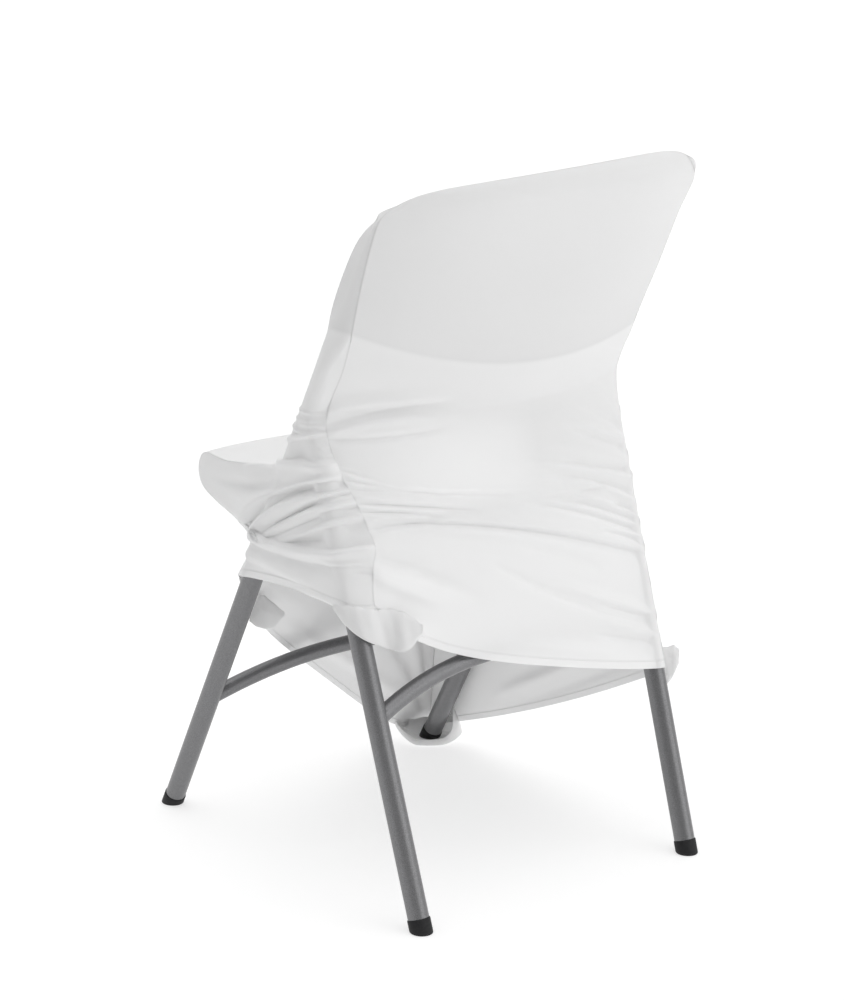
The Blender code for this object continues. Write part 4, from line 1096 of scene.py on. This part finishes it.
def knit_material(name, painted_shade_and_glow):
    """White stretch knit; if asked, with painted shade over the backrest pad and a faint painted glow
    between the pads.
    """
    made, tree, shader = principled(name, (0.80, 0.80, 0.80), 0.82)
    shader.inputs["Specular IOR Level"].default_value = 0.25
    shader.inputs["Sheen Weight"].default_value = 0.12
    shader.inputs["Sheen Roughness"].default_value = 0.5
    shader.inputs["Subsurface Weight"].default_value = 0.5
    shader.inputs["Subsurface Radius"].default_value = (1.0, 1.0, 1.0)
    shader.inputs["Subsurface Scale"].default_value = 0.004
    cloth_map = tree.nodes.new("ShaderNodeUVMap")
    cloth_map.uv_map = "cloth"
    weave = tree.nodes.new("ShaderNodeGroup")
    weave.node_tree = KNIT
    tree.links.new(cloth_map.outputs["UV"], weave.inputs["Cloth"])
    for label, socket in (("hem", "Hem"), ("seam", "Seam")):
        number = tree.nodes.new("ShaderNodeAttribute")
        number.attribute_name = label
        tree.links.new(number.outputs["Fac"], weave.inputs[socket])
    shade = weave.outputs["Shade"]
    if painted_shade_and_glow:
        place = tree.nodes.new("ShaderNodeTexCoord")
        axes = tree.nodes.new("ShaderNodeSeparateXYZ")
        tree.links.new(place.outputs["Object"], axes.inputs["Vector"])
        # painted shade: the cloth is darkened where the backrest pad sits behind it
        shade = math_node(tree, "SUBTRACT", shade, painted_pad_shade(tree, axes))
        # painted glow between the pads, standing in for light through the cloth
        shader.inputs["Emission Strength"].default_value = THROUGH_LIGHT
        tree.links.new(through_patch(tree, axes), shader.inputs["Emission Color"])
    tint = tree.nodes.new("ShaderNodeMix")
    tint.data_type = "RGBA"
    tint.inputs[6].default_value = (0.0, 0.0, 0.0, 1.0)
    tint.inputs[7].default_value = (CLOTH_WHITE, CLOTH_WHITE, CLOTH_WHITE, 1.0)
    tree.links.new(shade, tint.inputs["Factor"])
    tree.links.new(tint.outputs[2], shader.inputs["Base Color"])
    tree.links.new(weave.outputs["Normal"], shader.inputs["Normal"])
    return made


knit = knit_material("white_knit", True)
plain_knit = knit_material("white_knit_pouch", False)
print("cloth finishes:", knit.name, plain_knit.name)


# %% Make the panels
for name in ("back", "front", "left", "right"):
    piece = sheet_object("cloth_" + name, cloth[name], cloth_normals[name], THICK)
    piece.data.materials.append(knit)
    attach(piece, "root")
    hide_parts("cover_%s_panel" % name)
    wide, long, area = cut_size(cloth[name])
    print(name, "panel cut about", round(wide, 3), "x", round(long, 3), "m, area", round(area, 4))

# %% [markdown]
# ## The corner pouches
# A pouch is sewn into each lower corner to go under a foot. Three have come off their feet and hang
# empty and flattened. Each of these is drawn from its outline as it is seen from behind on the left:
# how high its upper edge and its lower edge are at every place along it, measured in millimetres
# `across` and in height. Its rear face lies flat, on the panel or round the leg, and its front face
# swells. The fourth is a low open pouch, drawn up to an ear on one side, with its sole on the floor.

# %% Pouch shapes
ACROSS = np.array([-0.809, 0.588])
OUTWARD = np.array([0.588, 0.809])
SAMPLES, HALF_WINDOW = 240, 16


def soft_curve(places, at):
    """A smooth line through (across, height) places."""
    known = np.array(places, float)
    fine_x = np.linspace(known[0, 0], known[-1, 0], SAMPLES)
    fine_z = np.interp(fine_x, known[:, 0], known[:, 1])
    window = np.hanning(2 * HALF_WINDOW + 1)
    padded = np.pad(fine_z, HALF_WINDOW, "edge")
    return np.interp(at, fine_x, np.convolve(padded, window / window.sum(), "valid"))


def ring_normals(grid):
    """Unit normals of a closed ring grid, pointing out of it."""
    down = np.gradient(grid, axis=0)
    loop = grid[:, :-1]
    over = np.roll(loop, -1, axis=1) - np.roll(loop, 1, axis=1)
    over = np.concatenate([over, over[:, :1]], axis=1)
    normal = np.cross(down, over)
    normal[0] = normal[1, :-1].mean(axis=0)
    outward = grid - grid.reshape(-1, 3).mean(axis=0)
    if (normal * outward).sum() < 0:
        normal = -normal
    return normal / np.maximum(np.linalg.norm(normal, axis=2, keepdims=True), 1e-9)


POUCH_RINGS, RING_POINTS = 30, 81
BAG_POWER, REAR_SWELL = 2.6, 1.3


def hanging_pouch(origin, upper, lower, swell, behind, crumple):
    """Rings of an empty pouch from its lowest point up to its gathered mouth."""
    start, stop = upper[0][0], upper[-1][0]
    turn = np.linspace(0, 2 * math.pi, RING_POINTS)
    rings = []
    for u in 1 - np.linspace(0, 1, POUCH_RINGS) ** 1.25:
        size = math.sqrt(max(0.0, 1 - u ** BAG_POWER))
        side, face = size * np.cos(turn), size * np.sin(turn)
        across = (start + stop) / 2 + (stop - start) / 2 * side
        top, low = soft_curve(upper, across), soft_curve(lower, across)
        share = np.clip(u / np.maximum((1 - side ** 2) ** (1 / BAG_POWER), 1e-6), 0, 1)
        height = top - (top - low) * share
        full = 0.3 + 0.7 * min(1.0, share.mean() / 0.6)
        ripple = crumple * np.sin(0.42 * across + 0.11 * height) * (1 - 0.6 * share)
        depth = np.where(face > 0, (swell(across) + ripple) * full, REAR_SWELL)
        out = behind(across, height) + depth * face
        height = height + 0.6 * crumple * np.sin(0.5 * across) * (1 - share) ** 3
        flat = np.outer(across, ACROSS) + np.outer(out, OUTWARD) + np.array(origin)
        rings.append(np.column_stack([flat, height]))
    grid = np.array(rings)
    grid[0] = grid[0].mean(axis=0)
    grid[:, -1] = grid[:, 0]
    return grid


SOLE_HEIGHT, SOLE_FLAT, CURL_POWER = 1.2, 16, 1.6
WALL_HEIGHT, EAR_HEIGHT, FAR_HEIGHT = 8, 32, 14
EAR_TURN, EAR_WIDTH, FAR_TURN, FAR_WIDTH = 0.15, 0.55, 4.7, 0.9


def curl(distance, height, run):
    """How far an end of the sole curls up, past its flat middle."""
    return height * (np.maximum(distance - SOLE_FLAT, 0) / run) ** CURL_POWER


def foot_pouch(centre, half_across, half_out):
    """Rings of the pouch on its foot, from the middle of its sole to its drawn-up mouth."""
    turn = np.linspace(0, 2 * math.pi, 97)
    from_ear = np.mod(turn + math.pi, 2 * math.pi) - math.pi - EAR_TURN
    ear = np.exp(-(from_ear / EAR_WIDTH) ** 2)
    far_wall = np.exp(-((turn - FAR_TURN) / FAR_WIDTH) ** 2)
    wall = WALL_HEIGHT + EAR_HEIGHT * ear + FAR_HEIGHT * far_wall
    rings = []
    for level in np.concatenate([np.linspace(0, 1, 10), 1 + np.linspace(0.06, 1, 14)]):
        size = min(1.0, level) * 0.97 + 0.03 * math.sin(math.pi * max(0.0, level - 1))
        lift = max(0.0, level - 1)
        ripple = 1 + 0.02 * np.sin(7 * turn + 2 * lift) * lift
        lean = 1 - 0.26 * lift * ear
        across = half_across * size * np.cos(turn) * ripple * lean
        out = half_out * size * np.sin(turn) * ripple
        raised = curl(-across, 22, 34.0) + curl(across, 9, 30.0)
        flat = np.outer(across, ACROSS) + np.outer(out - 0.5 * raised, OUTWARD) + np.array(centre)
        rings.append(np.column_stack([flat, SOLE_HEIGHT + wall * lift + raised]))
    grid = np.array(rings)
    grid[:, -1] = grid[:, 0]
    return grid


def round_the_leg(across, height):
    """Where the rear left pouch lies: over the leg, then on the back panel."""
    step = np.clip((across - 6) / 40.0, 0, 1)
    step = step * step * (3 - 2 * step)
    on_leg = 19.0 - 0.02 * np.minimum(across, 0) ** 2
    return on_leg * (1 - step) - 6.5 * step + 0.26 * (340 - height)


print("a smooth line halfway between 0 and 10:", float(soft_curve(((0, 0), (10, 10)), 5.0).round(2)))


# %% Make the pouches
pouches = {
    "front_left": hanging_pouch(
        origin=(168, -103),
        upper=((-15, 278), (-2, 305), (3, 305), (27, 282)),
        lower=((-15, 271), (-8, 264), (4, 260), (15, 262), (27, 278)),
        swell=lambda x: 3 + 1.5 * np.exp(-((x - 6) / 9) ** 2),
        behind=lambda x, z: 4 - 0.22 * (306 - z) + 0 * x,
        crumple=0.5),
    "rear_left": hanging_pouch(
        origin=(207.6, 147.9),
        upper=((-26, 360), (0, 362), (24, 354), (40, 352), (56, 347), (75, 334)),
        lower=((-26, 357), (-16, 344), (0, 331), (18, 320), (34, 310), (50, 304), (62, 308),
               (75, 326)),
        swell=lambda x: (4.0 + 10 * np.exp(-((x - 54) / 13) ** 2)
                         - 2.8 * np.exp(-((x - 30) / 7) ** 2)),
        behind=round_the_leg,
        crumple=1.3),
    "rear_right": hanging_pouch(
        origin=(-242, 179),
        upper=((-16, 224), (-9, 230), (4, 233), (10, 229)),
        lower=((-16, 192), (-9, 180), (-3, 182), (4, 193), (10, 210)),
        swell=lambda x: 6 + 0 * x,
        behind=lambda x, z: 0 * x - 3 - 0.1 * (234 - z),
        crumple=0.8),
    "front_right": foot_pouch(centre=(-199, -254), half_across=46, half_out=28),
}
for name, grid in pouches.items():
    piece = sheet_object("pouch_" + name, grid, ring_normals(grid), POUCH_THICK, ring=True)
    piece.data.materials.append(plain_knit)
    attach(piece, "root")
    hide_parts("pocket_" + name)
    girth, _, area = cut_size(grid)
    wide = float(girth) / 2
    print(name, "pouch cut about", round(wide, 3), "x", round(area / wide, 3), "m")

# %% [markdown]
# ## The pads
# The seat pad is a rounded slab on the two rails, and the backrest pad a bowed one that is round at
# its edges. The cloth hides nearly all of both; the seat pad's underside shows from below.

# %% Pad helper
def pad_object(name, node, rings):
    """A closed pad lofted through rings of points."""
    rings = np.array(rings)
    count = rings.shape[1]
    faces = []
    for level in range(len(rings) - 1):
        for k in range(count):
            a, b = level * count + k, level * count + (k + 1) % count
            faces.append((a, b, b + count, a + count))
    faces.append(tuple(range(count))[::-1])
    faces.append(tuple(range((len(rings) - 1) * count, len(rings) * count)))
    mesh = bpy.data.meshes.new(name)
    mesh.from_pydata(to_frame(rings).reshape(-1, 3).tolist(), [], faces)
    made = closed_object(name, mesh, 60)
    made.data.materials.append(vinyl)
    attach(made, "root")
    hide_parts(node)
    return made


# %% The pads' outlines
SEAT_HALF, SEAT_FRONT, SEAT_REAR = 186, -214, 118
FRONT_CORNER, REAR_CORNER = 68, 24
SEAT_LEVELS = ((427.2, 12), (427.6, 8), (429, 4), (432, 1.2), (437, 0), (453, 0), (458, 1.2),
               (462, 4.5), (464, 9), (464.6, 16))
BACK_HALF, END_STARTS, BOW_HALF = 210.0, 180, 196.0
BACK_LOW, BACK_TOP, BACK_THICK = 737, 966, 8
LOW_RISE, TOP_FALL = 34, 30
END_RISE, END_FALL, END_THINNER = 8, 30, 5
BACK_BEHIND, BACK_BOW = 2.5, 27
SQUARE_UP, SQUARE_OUT = 0.22, 0.45


def seat_ring(z, inset):
    """The seat's outline, its front corners rounder than its rear ones."""
    ring = []
    for sx, sy, start in ((1, -1, -90), (1, 1, 0), (-1, 1, 90), (-1, -1, 180)):
        radius = FRONT_CORNER if sy < 0 else REAR_CORNER
        middle = (sx * (SEAT_HALF - radius), SEAT_FRONT + radius if sy < 0 else SEAT_REAR - radius)
        for k in range(17):
            angle = math.radians(start + 90 * k / 16)
            ring.append((middle[0] + math.cos(angle) * (radius - inset),
                         middle[1] + math.sin(angle) * (radius - inset), z))
    return ring


def back_ring(x):
    """One upright section of the backrest pad, bowed to the rear and thinner at its ends."""
    t = x / BACK_HALF
    end = max(0.0, (abs(x) - END_STARTS) / (BACK_HALF - END_STARTS))
    low = BACK_LOW + LOW_RISE * t * t + END_RISE * end ** 2
    top = BACK_TOP - TOP_FALL * t * t - END_FALL * end ** 2
    thick = BACK_THICK - END_THINNER * end ** 2
    behind = BACK_BEHIND + BACK_BOW * max(0.0, 1 - (x / BOW_HALF) ** 2)
    ring = []
    for k in range(36):
        angle = 2 * math.pi * k / 36
        up, out = math.cos(angle), math.sin(angle)
        up = math.copysign(abs(up) ** SQUARE_UP, up) * (top - low) / 2 + (top + low) / 2
        out = math.copysign(abs(out) ** SQUARE_OUT, out) * thick + behind
        ring.append(np.array([x, FRONT_FOOT[1], 0.0]) + BACK_UP * up + BACK_REAR * out)
    return ring


# %% Make the pads
seat = pad_object("padded_seat", "seat_pad", [seat_ring(*level) for level in SEAT_LEVELS])
back = pad_object("padded_backrest", "backrest_pad",
                  [back_ring(-BACK_HALF * math.cos(math.pi * i / 48)) for i in range(49)])
print("pads:", [len(pad.data.polygons) for pad in (seat, back)], "faces")
